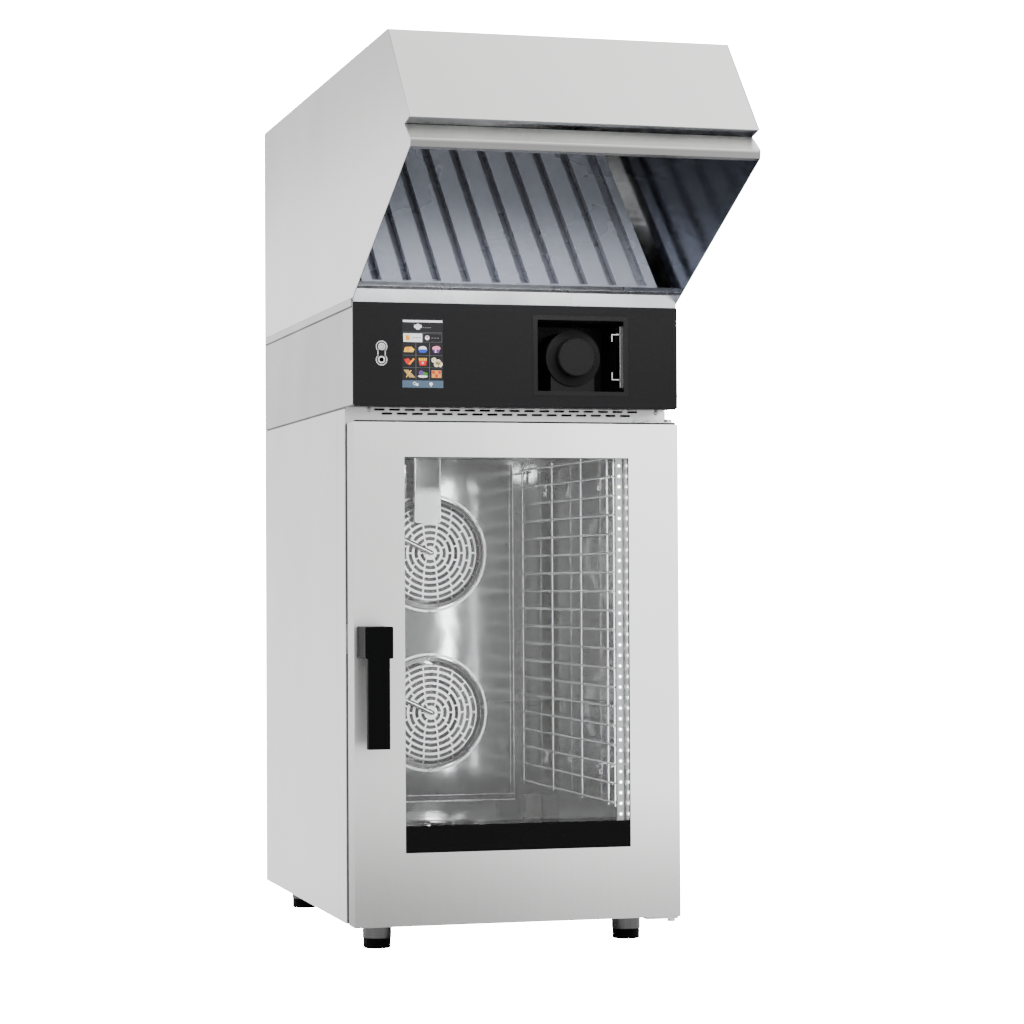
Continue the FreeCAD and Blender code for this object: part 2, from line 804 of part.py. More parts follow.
def insulation():
    """Mineral wool jacket around the cavity."""
    g = liner_sheet + insulation_gap
    y0 = frame_y + frame_sheet + insulation_gap
    y1 = cavity_rear + liner_sheet
    outer = box(-cavity_x - insulation_side, cavity_x + insulation_side, y0, y1,
                cavity_floor - insulation_floor, cavity_roof + insulation_roof)
    inner = box(-cavity_x - g, cavity_x + g, y0 - 1, y1 + 1,
                cavity_floor - basin_depth - g, cavity_roof + g)
    jacket = outer.cut(inner)
    dx, dy = drain_place()
    jacket = jacket.cut(rod((dx, dy, cavity_floor - 100), (0, 0, 1), drain_radius + 3.0, 100))
    return jacket.cut(rod((0, face_y + chimney_back, cavity_roof), (0, 0, 1),
                          chimney_radius + 1.0, 60))


def baffle():
    """Fan baffle with two round openings, folded-back sides and its four studs."""
    z0 = cavity_floor + baffle_bottom
    z1 = cavity_roof - baffle_top
    t = baffle_sheet
    path = [(-baffle_x, baffle_y + baffle_return), (-baffle_x, baffle_y), (baffle_x, baffle_y),
            (baffle_x, baffle_y + baffle_return)]
    plate = prism_z(folded(path, t), z0, z1)
    for z in fan_heights.values():
        plate = plate.cut(rod((0, baffle_y - 1, z), (0, 1, 0), baffle_hole_radius, t + 2))
    studs = []
    for x in (-baffle_x + stud_inset, baffle_x - stud_inset):
        for z in (z0 + stud_inset, z1 - stud_inset):
            studs.append(rod((x, baffle_y, z), (0, 1, 0), stud_radius, baffle_front))
            studs.append(rod((x, baffle_y - stud_head, z), (0, 1, 0), stud_radius + 1.0, stud_head + t))
    return fuse([plate] + studs)


def fan_guard(z):
    """Dished fan guard with rings of arc slots."""
    front = baffle_y - guard_sheet - guard_dish
    back = baffle_y - guard_sheet
    t = guard_sheet
    profile = [(0, front), (guard_flat_radius, front), (guard_flange_radius - 4.0, back),
               (guard_flange_radius, back), (guard_flange_radius, back + t),
               (guard_flange_radius - 4.0 - t / 3, back + t), (guard_flat_radius - t / 3, front + t),
               (0, front + t)]
    points = [Vector(r, y, 0) for r, y in profile]
    face = Part.Face(Part.makePolygon(points + points[:1]))
    guard = face.revolve(Vector(0, 0, 0), Vector(0, 1, 0), 360)
    guard.translate(Vector(0, 0, z))
    cuts = []
    for ring in range(guard_ring_count):
        radius = guard_ring_first + ring * guard_ring_pitch
        count = guard_slots_first + ring * guard_slots_step
        web = math.degrees(guard_web / radius)
        turn = 180.0 / count if ring % 2 else 0.0
        for i in range(count):
            start = turn + i * 360.0 / count + web / 2
            cuts.append(ring_sector(0, z, front - 1, back + t + 1, radius, guard_slot_width,
                                    start, 360.0 / count - web))
    web = math.degrees(guard_web / guard_rim_radius)
    for i in range(guard_rim_count):
        start = 18.0 + i * 360.0 / guard_rim_count + web / 2
        cuts.append(ring_sector(0, z, front - 1, back + t + 1, guard_rim_radius, guard_rim_slot,
                                start, 360.0 / guard_rim_count - web))
    guard = guard.cut(Part.makeCompound(cuts))
    return guard.cut(rod((0, front - 1, z), (0, 1, 0), inject_radius + 0.3, t + 2))


def bladed_wheel(y0, z, x, radius, eye, depth, blades, bore_length):
    """Radial wheel about a Y axis: back disc, front ring, blades, hub and shaft."""
    t = wheel_sheet
    parts = [rod((x, y0 + depth - t, z), (0, 1, 0), radius, t)]
    parts.append(tube((x, y0, z), (0, 1, 0), radius, eye, t))
    for i in range(blades):
        blade = box(x + eye + 1.0, x + radius - 0.5, y0 + t / 2, y0 + depth - t / 2,
                    z - t / 2, z + t / 2)
        blade.rotate(Vector(x, 0, z), Vector(0, 1, 0), i * 360.0 / blades)
        parts.append(blade)
    parts.append(rod((x, y0 + depth * 0.45, z), (0, 1, 0), hub_radius, depth * 0.55))
    parts.append(rod((x, y0 + depth * 0.45, z), (0, 1, 0), shaft_radius, depth * 0.55 + bore_length))
    return fuse(parts)


def fan_wheel(z):
    """Convection fan wheel with its shaft, which enters the motor."""
    y0 = baffle_y + wheel_front_clearance
    gap = cavity_rear + liner_sheet - (y0 + wheel_depth)
    return bladed_wheel(y0, z, 0, wheel_radius, wheel_eye_radius, wheel_depth, wheel_blades,
                        gap + motor_length * 0.6)


def fan_motor(z):
    """Motor behind the cavity, with the bore that its shaft turns in."""
    y0 = cavity_rear + liner_sheet
    body = rod((0, y0 + 4.0, z), (0, 1, 0), motor_radius, motor_length - 4.0)
    plate = box(-motor_radius - 8.0, motor_radius + 8.0, y0, y0 + 4.0,
                z - motor_radius - 8.0, z + motor_radius + 8.0)
    bore = rod((0, y0 - 1, z), (0, 1, 0), shaft_radius + shaft_clearance, motor_length * 0.7)
    return fuse([body, plate]).cut(bore)


def heater(z):
    """Tubular heating element: rings around the fan wheel on two flat bars."""
    y0 = baffle_y + wheel_front_clearance + 4.0
    rings = [Part.makeTorus(heater_radius, heater_rod, Vector(0, y0 + i * heater_pitch, z),
                            Vector(0, 1, 0)) for i in range(heater_turns)]
    for turn in heater_bar_turns:
        bar = box(heater_radius - heater_bar / 4, heater_radius + heater_bar / 4,
                  y0 - heater_bar, cavity_rear, z - heater_bar / 2, z + heater_bar / 2)
        bar.rotate(Vector(0, 0, z), Vector(0, 1, 0), turn)
        rings.append(bar)
    return fuse(rings)


def inject_tube(z):
    """Water tube from the baffle down to the middle of a fan guard."""
    y = baffle_y - guard_sheet - guard_dish - inject_front / 2
    start = (-inject_side, y, z + inject_rise)
    centre = (0.0, y, z)
    return fuse([
        rod_between(start, centre, inject_radius),
        Part.makeSphere(inject_radius, Vector(*centre)),
        Part.makeSphere(inject_radius, Vector(*start)),
        rod(centre, (0, 1, 0), inject_radius, inject_front / 2 + guard_sheet + 4.0),
        rod(start, (0, 1, 0), inject_radius, baffle_y - y),
    ])


def ceiling_duct():
    """Sheet channel that hangs from the cavity roof in front of the upper fan."""
    x0 = -duct_left
    x1 = x0 + duct_width
    y = baffle_y - guard_dish - duct_front
    path = [(x0, y + duct_depth), (x0, y), (x1, y), (x1, y + duct_depth)]
    channel = prism_z(folded(path, liner_sheet), cavity_roof - duct_drop, cavity_roof)
    floor = box(x0 + liner_sheet, x1 - liner_sheet, y + liner_sheet, y + duct_depth,
                cavity_roof - duct_drop, cavity_roof - duct_drop + liner_sheet)
    return fuse([channel, floor])


def drain_basket():
    """Domed strainer over the cavity drain."""
    dx, dy = drain_place()
    z = cavity_floor - basin_depth
    disc = rod((dx, dy, z), (0, 0, 1), drain_radius + 6.0, 1.5)
    dome = rod((dx, dy, z + 1.5), (0, 0, 1), drain_radius, drain_basket_height - 1.5)
    basket = fuse([disc, dome])
    basket = basket.cut(rod((dx, dy, z - 1), (0, 0, 1), drain_radius - 1.5, drain_basket_height))
    cuts = []
    for i in range(12):
        hole = box(dx + 5.0, dx + drain_radius - 3.0, dy - 1.0, dy + 1.0,
                   z, z + drain_basket_height + 1)
        hole.rotate(Vector(dx, dy, z), Vector(0, 0, 1), i * 30)
        cuts.append(hole)
    return basket.cut(Part.makeCompound(cuts))


def chimney():
    """Steam outlet from the cavity roof into the hood."""
    y = face_y + chimney_back
    z0 = cavity_roof + liner_sheet
    return tube((0, y, z0), (0, 0, 1), chimney_radius, chimney_radius - chimney_wall,
                hood_floor + 30.0 - z0)


# ---------------------------------------------------------------- racks
def rack_x(side):
    """Plane of a rack's upright wires."""
    return side * (cavity_x - rack_wall_gap)


def rack_rows():
    """Heights of the rack's level wires."""
    first = cavity_floor + rack_first_row
    last = cavity_roof - rack_top_margin
    count = int((last - first) / rack_row_pitch) + 1
    return [first + i * rack_row_pitch for i in range(count)]


def rack_hook_places():
    """(y, z) of the pins that hold a rack."""
    rows = rack_rows()
    ys = [frame_y + rack_posts_back[1] + rack_hook_offset, frame_y + rack_posts_back[3] + rack_hook_offset]
    return [(y, z - rack_pin_drop) for y in ys for z in (rows[2], rows[-2])]


def rack(side):
    """Wire side rack: uprights, level wires and the hooks over its pins."""
    rows = rack_rows()
    x = rack_x(side)
    posts = [frame_y + back for back in rack_posts_back if back < cavity_depth - 20.0]
    wires = [rod((x, y, rows[0] - rack_wire_end), (0, 0, 1), rack_wire,
                 rows[-1] - rows[0] + 2 * rack_wire_end) for y in posts]
    level_x = x - side * (rack_wire + rack_rail_wire - rack_weld)
    y0 = posts[0] - rack_wire_end
    run = posts[-1] + rack_wire_end - y0
    wires += [rod((level_x, y0, z), (0, 1, 0), rack_rail_wire, run) for z in rows]
    wires += [rack_hook(side, y, z) for y, z in rack_hook_places()]
    return fuse(wires)


def rack_hook(side, y, z):
    """Small plate on a rack that hooks over a pin from above."""
    face = rack_x(side) - side * (rack_wire + rack_rail_wire + 1.0)
    x0, x1 = sorted((face, face + side * rack_hook_sheet))
    low = z - rack_hook_drop
    half = rack_hook_width / 2
    plate = box(x0, x1, y - half, y + half, low, z + rack_pin_drop + 1.0)
    slot = rack_pin_radius + rack_pin_clearance
    plate = plate.cut(box(x0 - 1, x1 + 1, y - slot, y + slot, low - 1, z))
    return plate.cut(rod((x0 - 1, y, z), (1, 0, 0), slot, x1 - x0 + 2))


def rack_pins():
    """Pins welded to both cavity walls that carry the racks."""
    reach = rack_wall_gap + rack_wire + rack_rail_wire + rack_hook_sheet + 4.0
    pins = []
    for side in (-1, 1):
        start = side * (cavity_x + liner_sheet / 2)
        for y, z in rack_hook_places():
            pins.append(rod((start, y, z), (-side, 0, 0), rack_pin_radius, reach + liner_sheet / 2))
    return pins


def rack_supports():
    """Blocks welded to the cavity floor at the rear corners."""
    blocks = []
    y1 = baffle_y - 6.0
    for side in (-1, 1):
        x0, x1 = sorted((side * (cavity_x - 2.0), side * (cavity_x - 2.0 - support_block_size)))
        blocks.append(box(x0, x1, y1 - support_block_size, y1, cavity_floor - liner_sheet / 2,
                          cavity_floor + support_block_height))
    return blocks


# ---------------------------------------------------------------- control panel
def peanut(grow, y0, y1):
    """Two discs joined by a waist, around the button and the socket."""
    r = surround_radius + grow
    upper = rod((button_x, y0, button_z), (0, 1, 0), r, y1 - y0)
    lower = rod((button_x, y0, socket_z), (0, 1, 0), r, y1 - y0)
    waist = box(button_x - r * 0.8, button_x + r * 0.8, y0, y1, socket_z, button_z)
    return fuse([upper, lower, waist])


def screen_box(grow, y0, y1):
    """Block the size of the touch screen, grown on each side."""
    return box(screen_x - grow, screen_x + screen_width + grow, y0, y1,
               screen_z - grow, screen_z + screen_height + grow)


def fascia():
    """Dark glass front of the control panel with its openings."""
    y0 = face_y
    y1 = face_y + fascia_glass
    glass = box(-side_x, side_x, y0, y1, panel_bottom, panel_top)
    glass = glass.cut(screen_box(fascia_fit, y0 - 1, y1 + 1))
    glass = glass.cut(peanut(fascia_fit, y0 - 1, y1 + 1))
    return glass.cut(box(bay_x0 - fascia_fit, bay_x1 + fascia_fit, y0 - 1, y1 + 1,
                         bay_z0 - fascia_fit, bay_z1 + fascia_fit))


def fascia_backing():
    """Steel plate behind the glass, with its openings and the shelf folded back over the vent gap."""
    y0 = face_y + fascia_glass
    y1 = y0 + fascia_plate
    plate = box(-side_x, side_x, y0, y1, panel_bottom, panel_top)
    for z, radius in ((button_z, button_radius + 1.0), (socket_z, socket_hole + 1.0)):
        plate = plate.cut(rod((button_x, y0 - 1, z), (0, 1, 0), radius, fascia_plate + 2))
    x0, x1, z0, z1 = bay_box(-bay_bezel + bay_wall + fascia_fit)
    plate = plate.cut(box(x0, x1, y0 - 1, y1 + 1, z0, z1))
    x = side_x - casing_sheet
    shelf = box(-x, x, y1, frame_y, panel_bottom, panel_bottom + fascia_plate)
    return fuse([plate, shelf])


def button_surround():
    """Raised rim around the power button, with the service socket below it."""
    y0 = face_y - surround_proud
    rim = peanut(0, y0, face_y + fascia_glass)
    depth = fascia_glass + surround_proud + 2
    rim = rim.cut(rod((button_x, y0 - 1, button_z), (0, 1, 0), button_radius + button_clearance, depth))
    return rim.cut(rod((button_x, y0 - 1, socket_z), (0, 1, 0), socket_hole, depth))


def power_button():
    """Round push button with its plunger."""
    y0 = face_y - button_proud
    cap = rod((button_x, y0, button_z), (0, 1, 0), button_radius, button_length)
    edge = [e for e in cap.Edges if abs(e.BoundBox.YMax - y0) < 0.01]
    return cap.makeChamfer(0.6, edge)


def touch_screen():
    """Display set flush in the glass."""
    return screen_box(0, face_y + 0.3, face_y + 0.3 + screen_glass)


def bay_box(grow):
    """(x0, x1, z0, z1) of the detergent bay, grown on each side."""
    return (bay_x0 - grow, bay_x1 + grow, bay_z0 - grow, bay_z1 + grow)


def bay_housing():
    """Detergent bay: square bezel, open-fronted box and the cradle of the cartridge."""
    inner = bay_box(-bay_bezel)
    outer = bay_box(-bay_bezel + bay_wall)
    y1 = face_y + fascia_glass + bay_depth
    bezel = frame_ring(bay_box(0), inner, face_y - bezel_proud, face_y + fascia_glass)
    shell = box(outer[0], outer[1], face_y, y1, outer[2], outer[3])
    shell = shell.cut(box(inner[0], inner[1], face_y - 1, y1 - bay_wall, inner[2], inner[3]))
    return fuse([bezel, shell, bay_cradle()])


def cartridge():
    """Detergent cartridge: round cap at the front, neck and body."""
    y_neck = face_y + cartridge_cap_back + cartridge_cap_depth
    y_body = y_neck + cartridge_neck_length
    cap = rod((cartridge_x, face_y + cartridge_cap_back, cartridge_z), (0, 1, 0),
              cartridge_radius, cartridge_cap_depth)
    edge = [e for e in cap.Edges if abs(e.BoundBox.YMax - (face_y + cartridge_cap_back)) < 0.01]
    cap = cap.makeFillet(2.5, edge)
    neck = rod((cartridge_x, y_neck, cartridge_z), (0, 1, 0), cartridge_neck_radius,
               cartridge_neck_length)
    body = rod((cartridge_x, y_body, cartridge_z), (0, 1, 0), cartridge_body_radius,
               cartridge_body_length)
    return fuse([cap, neck, body])


def bay_cradle():
    """Half-round cradle that carries the cartridge in the bay."""
    y0 = face_y + cartridge_cap_back + cartridge_cap_depth + cartridge_neck_length + 4.0
    y1 = y0 + cartridge_body_length - 12.0
    r = cartridge_body_radius + cartridge_cradle_clearance
    floor = bay_z0 + bay_bezel - bay_wall / 2
    block = box(cartridge_x - r * 0.8, cartridge_x + r * 0.8, y0, y1, floor,
                cartridge_z - r * 0.55)
    return block.cut(rod((cartridge_x, y0 - 1, cartridge_z), (0, 1, 0), r, y1 - y0 + 2))


def bay_clip():
    """Upright bracket at the right of the bay with two hooks."""
    x1 = bay_x1 - bay_bezel - 1.0
    x0 = x1 - clip_width
    y0 = face_y + fascia_glass + fascia_plate + 6.0
    z0 = cartridge_z - clip_height / 2
    z1 = z0 + clip_height
    upright = box(x1 - clip_sheet, x1 + 1.0, y0, y0 + 24.0, z0, z1)
    parts = [upright]
    for z, step in ((z0 + clip_hook, 1), (z1 - clip_hook, -1)):
        low, high = sorted((z, z + step * clip_sheet))
        parts.append(box(x0, x1, y0, y0 + 16.0, low, high))
        lip0, lip1 = sorted((z, z + step * clip_hook))
        parts.append(box(x0, x0 + clip_sheet, y0, y0 + 16.0, lip0, lip1))
    return fuse(parts)


# ---------------------------------------------------------------- inside the casing
def inside_floor():
    """Top of the control compartment's floor."""
    return panel_bottom + fascia_plate


def control_board():
    """Circuit board with its chips, on standoffs behind the touch screen."""
    x0 = screen_x
    x1 = bay_x0 - board_bay_gap
    y0 = face_y + board_back
    y1 = y0 + board_depth
    z0 = inside_floor() + board_standoff
    board = box(x0, x1, y0, y1, z0, z0 + board_thickness)
    posts = [rod((x, y, z0 - board_standoff), (0, 0, 1), 3.0, board_standoff)
             for x in (x0 + 8.0, x1 - 8.0) for y in (y0 + 8.0, y1 - 8.0)]
    chips = [box(x, x + 22.0, y0 + 30.0, y0 + 60.0, z0, z0 + board_thickness + 12.0)
             for x in (x0 + 15.0, (x0 + x1) / 2)]
    return fuse([board] + posts + chips)


def cooler_place():
    """(x, z) of the compartment's cooling fan."""
    return (side_x - 80.0, (panel_bottom + hood_base - seam_gap) / 2)


def cooler_frame():
    """Frame of the cooling fan, on the rear wall of the compartment."""
    x, z = cooler_place()
    h = cooler_side / 2
    y1 = rear_inner_y
    y0 = y1 - cooler_depth
    frame = box(x - h, x + h, y0, y1, z - h, z + h)
    frame = frame.cut(rod((x, y0 - 1, z), (0, 1, 0), cooler_radius + 2.0, cooler_depth + 2))
    hub = tube((x, y1 - 6.0, z), (0, 1, 0), 16.0, shaft_radius + shaft_clearance, 6.0)
    arms = [box(x + 14.0, x + cooler_radius + 3.0, y1 - 4.0, y1, z - 2.0, z + 2.0)]
    for turn in (90, 180, 270):
        arm = arms[0].copy()
        arm.rotate(Vector(x, 0, z), Vector(0, 1, 0), turn)
        arms.append(arm)
    return fuse([frame, hub] + arms)


def cooler_wheel():
    """Axial wheel of the cooling fan."""
    x, z = cooler_place()
    y1 = rear_inner_y - 6.5
    y0 = rear_inner_y - cooler_depth + 1.0
    parts = [rod((x, y0, z), (0, 1, 0), 15.0, y1 - y0)]
    for i in range(cooler_blades):
        blade = box(x + 13.0, x + cooler_radius, y0 + 5.0, y0 + 7.0, z - 9.0, z + 9.0)
        blade.rotate(Vector(x, y0 + 6.0, z), Vector(1, 0, 0), 28)
        blade.rotate(Vector(x, 0, z), Vector(0, 1, 0), i * 360.0 / cooler_blades)
        parts.append(blade)
    parts.append(rod((x, y1 - 1.0, z), (0, 1, 0), shaft_radius, 6.0))
    return fuse(parts)


def water_valve():
    """Water inlet: solenoid valve inside the rear panel with its threaded stub outside."""
    x, y, z = inlet_place()
    half = valve_size / 2
    body = box(x - half, x + half, rear_inner_y - 30.0, rear_inner_y, z - half, z + half)
    coil = rod((x, rear_inner_y - 16.0, z), (0, 0, 1), 11.0, half + 22.0)
    stub = rod((x, rear_inner_y, z), (0, 1, 0), inlet_radius, casing_sheet + inlet_length)
    nut = hexagon((0, 0), inlet_radius + 6.0, 0, inlet_nut)
    nut.rotate(Vector(0, 0, 0), Vector(1, 0, 0), -90)
    nut.translate(Vector(x, y, z))
    bore = rod((x, rear_inner_y - 10.0, z), (0, 1, 0), inlet_radius - 4.0, 60)
    return fuse([body, coil, stub, nut]).cut(bore)


def inlet_place():
    """Centre of the water inlet on the rear panel."""
    return (-side_x + 90.0, rear_y, foot_height + 66.0)


def outlet_place():
    """Centre of the drain outlet on the rear panel."""
    return (side_x - 90.0, rear_y, foot_height + outlet_rise)


def gland_place():
    """Centre of the mains cable gland on the rear panel."""
    return (-side_x + 180.0, rear_y, foot_height + 66.0)


def drain_pipe():
    """Drain: sump under the cavity, pipe to the rear and its outlet stub."""
    x, y, z = outlet_place()
    dx, dy = drain_place()
    sump_top = cavity_floor - basin_depth - liner_sheet
    sump = rod((dx, dy, z - outlet_radius), (0, 0, 1), drain_radius + 2.0,
               sump_top - z + outlet_radius)
    across = rod_between((dx, dy, z), (x, dy, z), outlet_radius)
    knuckle = Part.makeSphere(outlet_radius, Vector(x, dy, z))
    along = rod((x, dy, z), (0, 1, 0), outlet_radius, y + rear_reach - dy)
    collar = rod((x, y, z), (0, 1, 0), outlet_collar_radius, outlet_collar)
    pipe = fuse([sump, across, knuckle, along, collar])
    r = outlet_radius - outlet_wall
    hollow = fuse([
        rod((dx, dy, z - r), (0, 0, 1), drain_radius, sump_top + 5 - z + r),
        rod_between((dx, dy, z), (x, dy, z), r),
        Part.makeSphere(r, Vector(x, dy, z)),
        rod((x, dy, z), (0, 1, 0), r, y + rear_reach + 5 - dy),
    ])
    return pipe.cut(hollow)


def cable_gland():
    """Gland for the mains cable."""
    x, y, z = gland_place()
    body = rod((x, y, z), (0, 1, 0), gland_radius, gland_length * 0.6)
    nut = rod((x, y + gland_length * 0.6, z), (0, 1, 0), gland_radius - 3.0, gland_length * 0.4)
    inside = rod((x, rear_inner_y - 6.0, z), (0, 1, 0), gland_bore + 1.0, 6.0 + casing_sheet)
    bore = rod((x, rear_inner_y - 10.0, z), (0, 1, 0), gland_bore, 60)
    return fuse([body, nut, inside]).cut(bore)


# ---------------------------------------------------------------- hood
def hood_flange():
    """Base angle of the hood, flush with the casing sides."""
    y0 = face_y + 14.0
    t = hood_sheet
    path = [(-side_x, y0), (-side_x, rear_y), (side_x, rear_y), (side_x, y0)]
    inner = [(x * (side_x - t) / side_x, y - (t if y == rear_y else 0)) for x, y in path[::-1]]
    return prism_z(path + inner, hood_base, hood_floor)


def hood_outline():
    """(y, z) outline of a hood side, notched between the lip and the visor."""
    z0 = hood_floor + seam_gap / 2
    return [(face_y + 2.0, z0), (lip_y + 1.5, lip_z - lip_face), (lip_y, lip_z),
            (lip_y + lip_panel_back, lip_z + lip_panel_rise), (visor_low_y, visor_low_z),
            (visor_top_y, hood_top), (rear_y, hood_top), (rear_y, z0)]


def hood_side(side):
    """Side cheek of the hood."""
    x0, x1 = sorted((side * side_x, side * inner_x))
    return prism_x(hood_outline(), x0, x1)


def hood_top_cover():
    """Top sheet from the visor to the rear, folded down behind, with an outlet grille."""
    path = [(visor_top_y + visor_return + seam_gap, hood_top), (rear_y, hood_top),
            (rear_y, hood_floor + seam_gap / 2)]
    cover = prism_x(folded(path, -hood_sheet), -inner_x, inner_x)
    cuts = []
    count = int((width - 2 * vent_margin) / (louvre_length + louvre_height * 3))
    for i in range(louvre_rows):
        z = hood_top - louvre_top - i * louvre_pitch
        for k in range(count):
            x = (k - (count - 1) / 2) * (louvre_length + louvre_height * 3)
            cuts.append(slot_x(x, rear_y - 2 * hood_sheet, rear_y + 1, z, louvre_length, louvre_height))
    return cover.cut(Part.makeCompound(cuts))


def visor():
    """Front sheet of the hood over the lip, folded back at its foot and its top."""
    path = [(visor_low_y + visor_depth, visor_low_z + 3.0), (visor_low_y, visor_low_z),
            (visor_top_y, hood_top), (visor_top_y + visor_return, hood_top)]
    return prism_x(folded(path, -hood_sheet), -inner_x, inner_x)


def hood_lip():
    """Folded bar along the mouth of the hood, under the visor."""
    high = lip_z + lip_panel_rise
    path = [(lip_y + lip_return, lip_z - lip_face), (lip_y + 1.5, lip_z - lip_face), (lip_y, lip_z),
            (lip_y + lip_panel_back, high), (lip_y + lip_panel_back + lip_return, high)]
    return prism_x(folded(path, -hood_sheet), -inner_x, inner_x)


def drip_tray():
    """Condensate tray at the foot of the hood, with the front strip."""
    z0 = panel_top
    z1 = z0 + strip_height
    y1 = face_y + tray_depth
    path = [(y1, z1 - 6.0), (y1, z0), (face_y, z0), (face_y, z1), (face_y + strip_return, z1)]
    return prism_x(folded(path, -hood_sheet), -inner_x, inner_x)


def tilt(shape):
    """Turn a piece built upright at the origin into the filter's place."""
    shape.rotate(Vector(0, 0, 0), Vector(1, 0, 0), -filter_lean)
    shape.translate(Vector(0, face_y + filter_front, panel_top + filter_rise))
    return shape


def grease_filter():
    """Baffle filter: a channel frame with two rows of channel slats that face each other."""
    t = filter_sheet
    outer = box(-filter_x, filter_x, 0, filter_thickness, 0, filter_length)
    hollow = box(-filter_x + t, filter_x - t, t, filter_thickness - t, t, filter_length - t)
    window = box(-filter_x + filter_border, filter_x - filter_border, -1, filter_thickness + 1,
                 filter_border, filter_length - filter_border)
    shape = outer.cut(hollow).cut(window)
    return tilt(fuse([shape] + slat_row(False) + slat_row(True)))


def slat_row(rear):
    """One row of channel slats; the rear row covers the gaps of the front one."""
    t = slat_sheet
    count = int(2 * (filter_x - filter_border) / slat_pitch) + (1 if rear else 0)
    limit = filter_x - filter_sheet
    flip = -1 if rear else 1
    y = filter_thickness - filter_sheet if rear else filter_sheet
    slats = []
    for i in range(count):
        mid = (i - (count - 1) / 2) * slat_pitch
        x0 = max(mid - slat_face / 2, -limit)
        x1 = min(mid + slat_face / 2, limit)
        path = [(x0, y + flip * slat_flange), (x0, y), (x1, y), (x1, y + flip * slat_flange)]
        slats.append(prism_z(folded(path, flip * t), filter_sheet, filter_length - filter_sheet))
    return slats


def filter_rail(top):
    """Channel that holds one end of the filter between the hood sides."""
    c = rail_clearance
    y0 = -c - rail_sheet
    y1 = filter_thickness + c + rail_sheet
    if top:
        z0 = filter_length - rail_lip
        z1 = filter_length + filter_lift + 2.0
        path = [(y0, z0), (y0, z1), (y1, z1), (y1, z0)]
        outline = folded(path, -rail_sheet)
    else:
        path = [(y0, rail_lip), (y0, -c - rail_sheet), (y1, -c - rail_sheet), (y1, rail_lip)]
        outline = folded(path, rail_sheet)
    return tilt(prism_x(outline, -inner_x, inner_x))


def blower_place():
    """(y of the housing front, z) of the hood blower."""
    y0 = rear_y - hood_sheet - blower_depth - blower_motor_length - blower_rear_gap
    return y0, panel_top + blower_rise


def blower_housing():
    """Round housing of the hood blower with its motor and its stand on the deck."""
    y0, z = blower_place()
    t = blower_wall
    shell = rod((0, y0, z), (0, 1, 0), blower_radius, blower_depth)
    shell = shell.cut(rod((0, y0 - 1, z), (0, 1, 0), blower_eye_radius + 6.0, 10))
    shell = shell.cut(rod((0, y0 + t, z), (0, 1, 0), blower_radius - t, blower_depth - 2 * t))
    half = blower_stand / 2
    stand = box(-half, half, y0 + 4.0, y0 + blower_depth - 4.0, panel_top - piece_gap, z)
    stand = stand.cut(rod((0, y0, z), (0, 1, 0), blower_radius - t, blower_depth))
    motor = rod((0, y0 + blower_depth - t, z), (0, 1, 0), blower_motor_radius,
                blower_motor_length + t)
    bore = rod((0, y0, z), (0, 1, 0), shaft_radius + shaft_clearance, blower_depth + 25.0)
    return fuse([shell, stand, motor]).cut(bore)


def blower_wheel():
    """Wheel of the hood blower with its shaft."""
    y0, z = blower_place()
    return bladed_wheel(y0 + 6.0, z, 0, blower_wheel_radius, blower_eye_radius,
                        blower_wheel_depth, wheel_blades, blower_depth - blower_wheel_depth - 6.0 + 18.0)


# ---------------------------------------------------------------- all pieces
def group(shapes):
    """Separate solids that share one node."""
    return Part.makeCompound(shapes)


def casing_pieces():
    """Casing, feet, seals and door hinges."""
    feet = foot_places()
    return {
        "base_pan": base_pan(),
        "side_panel_left": side_panel(-1),
        "side_panel_right": side_panel(1),
        "rear_panel": rear_panel(),
        "front_frame": front_frame(),
        "vent_strip": vent_strip(),
        "upper_casing": upper_casing(),
        "foot_sleeves": group([foot_sleeve(x, y) for _, x, y in feet]),
        "foot_pads": group([foot_pad(x, y) for _, x, y in feet]),
        "hinge_brackets": group([hinge_bracket("upper"), hinge_bracket("lower")]),
        "hinge_pins": group([hinge_pin("upper"), hinge_pin("lower")]),
        "door_seals": group([ring_gasket(), edge_seal()]),
    }


def door_pieces():
    """Door and handle."""
    return {
        "door_skin": door_skin(),
        "door_back_frame": door_back(),
        "door_spacer": door_spacer(),
        "door_outer_glass": outer_pane(),
        "door_inner_glass": inner_pane(),
        "door_light_strip": light_strip(),
        "door_bushes": group([hinge_bush(door_bottom), hinge_bush(door_top - hinge_bush_length),
                              spindle_bush()]),
        "handle_grip": handle_grip(),
        "latch_spindle": latch_spindle(),
    }


def cavity_pieces():
    """Cavity, fans and racks."""
    heights = fan_heights.values()
    return {
        "cavity_liner": cavity_liner(),
        "insulation_jacket": insulation(),
        "fan_baffle": baffle(),
        "fan_guards": group([fan_guard(z) for z in heights]),
        "fan_wheel_upper": fan_wheel(fan_heights["upper"]),
        "fan_wheel_lower": fan_wheel(fan_heights["lower"]),
        "fan_motors": group([fan_motor(z) for z in heights]),
        "heating_elements": group([heater(z) for z in heights]),
        "inject_tubes": group([inject_tube(z) for z in heights]),
        "ceiling_duct": ceiling_duct(),
        "drain_basket": drain_basket(),
        "steam_chimney": chimney(),
        "rack_left": rack(-1),
        "rack_right": rack(1),
    }


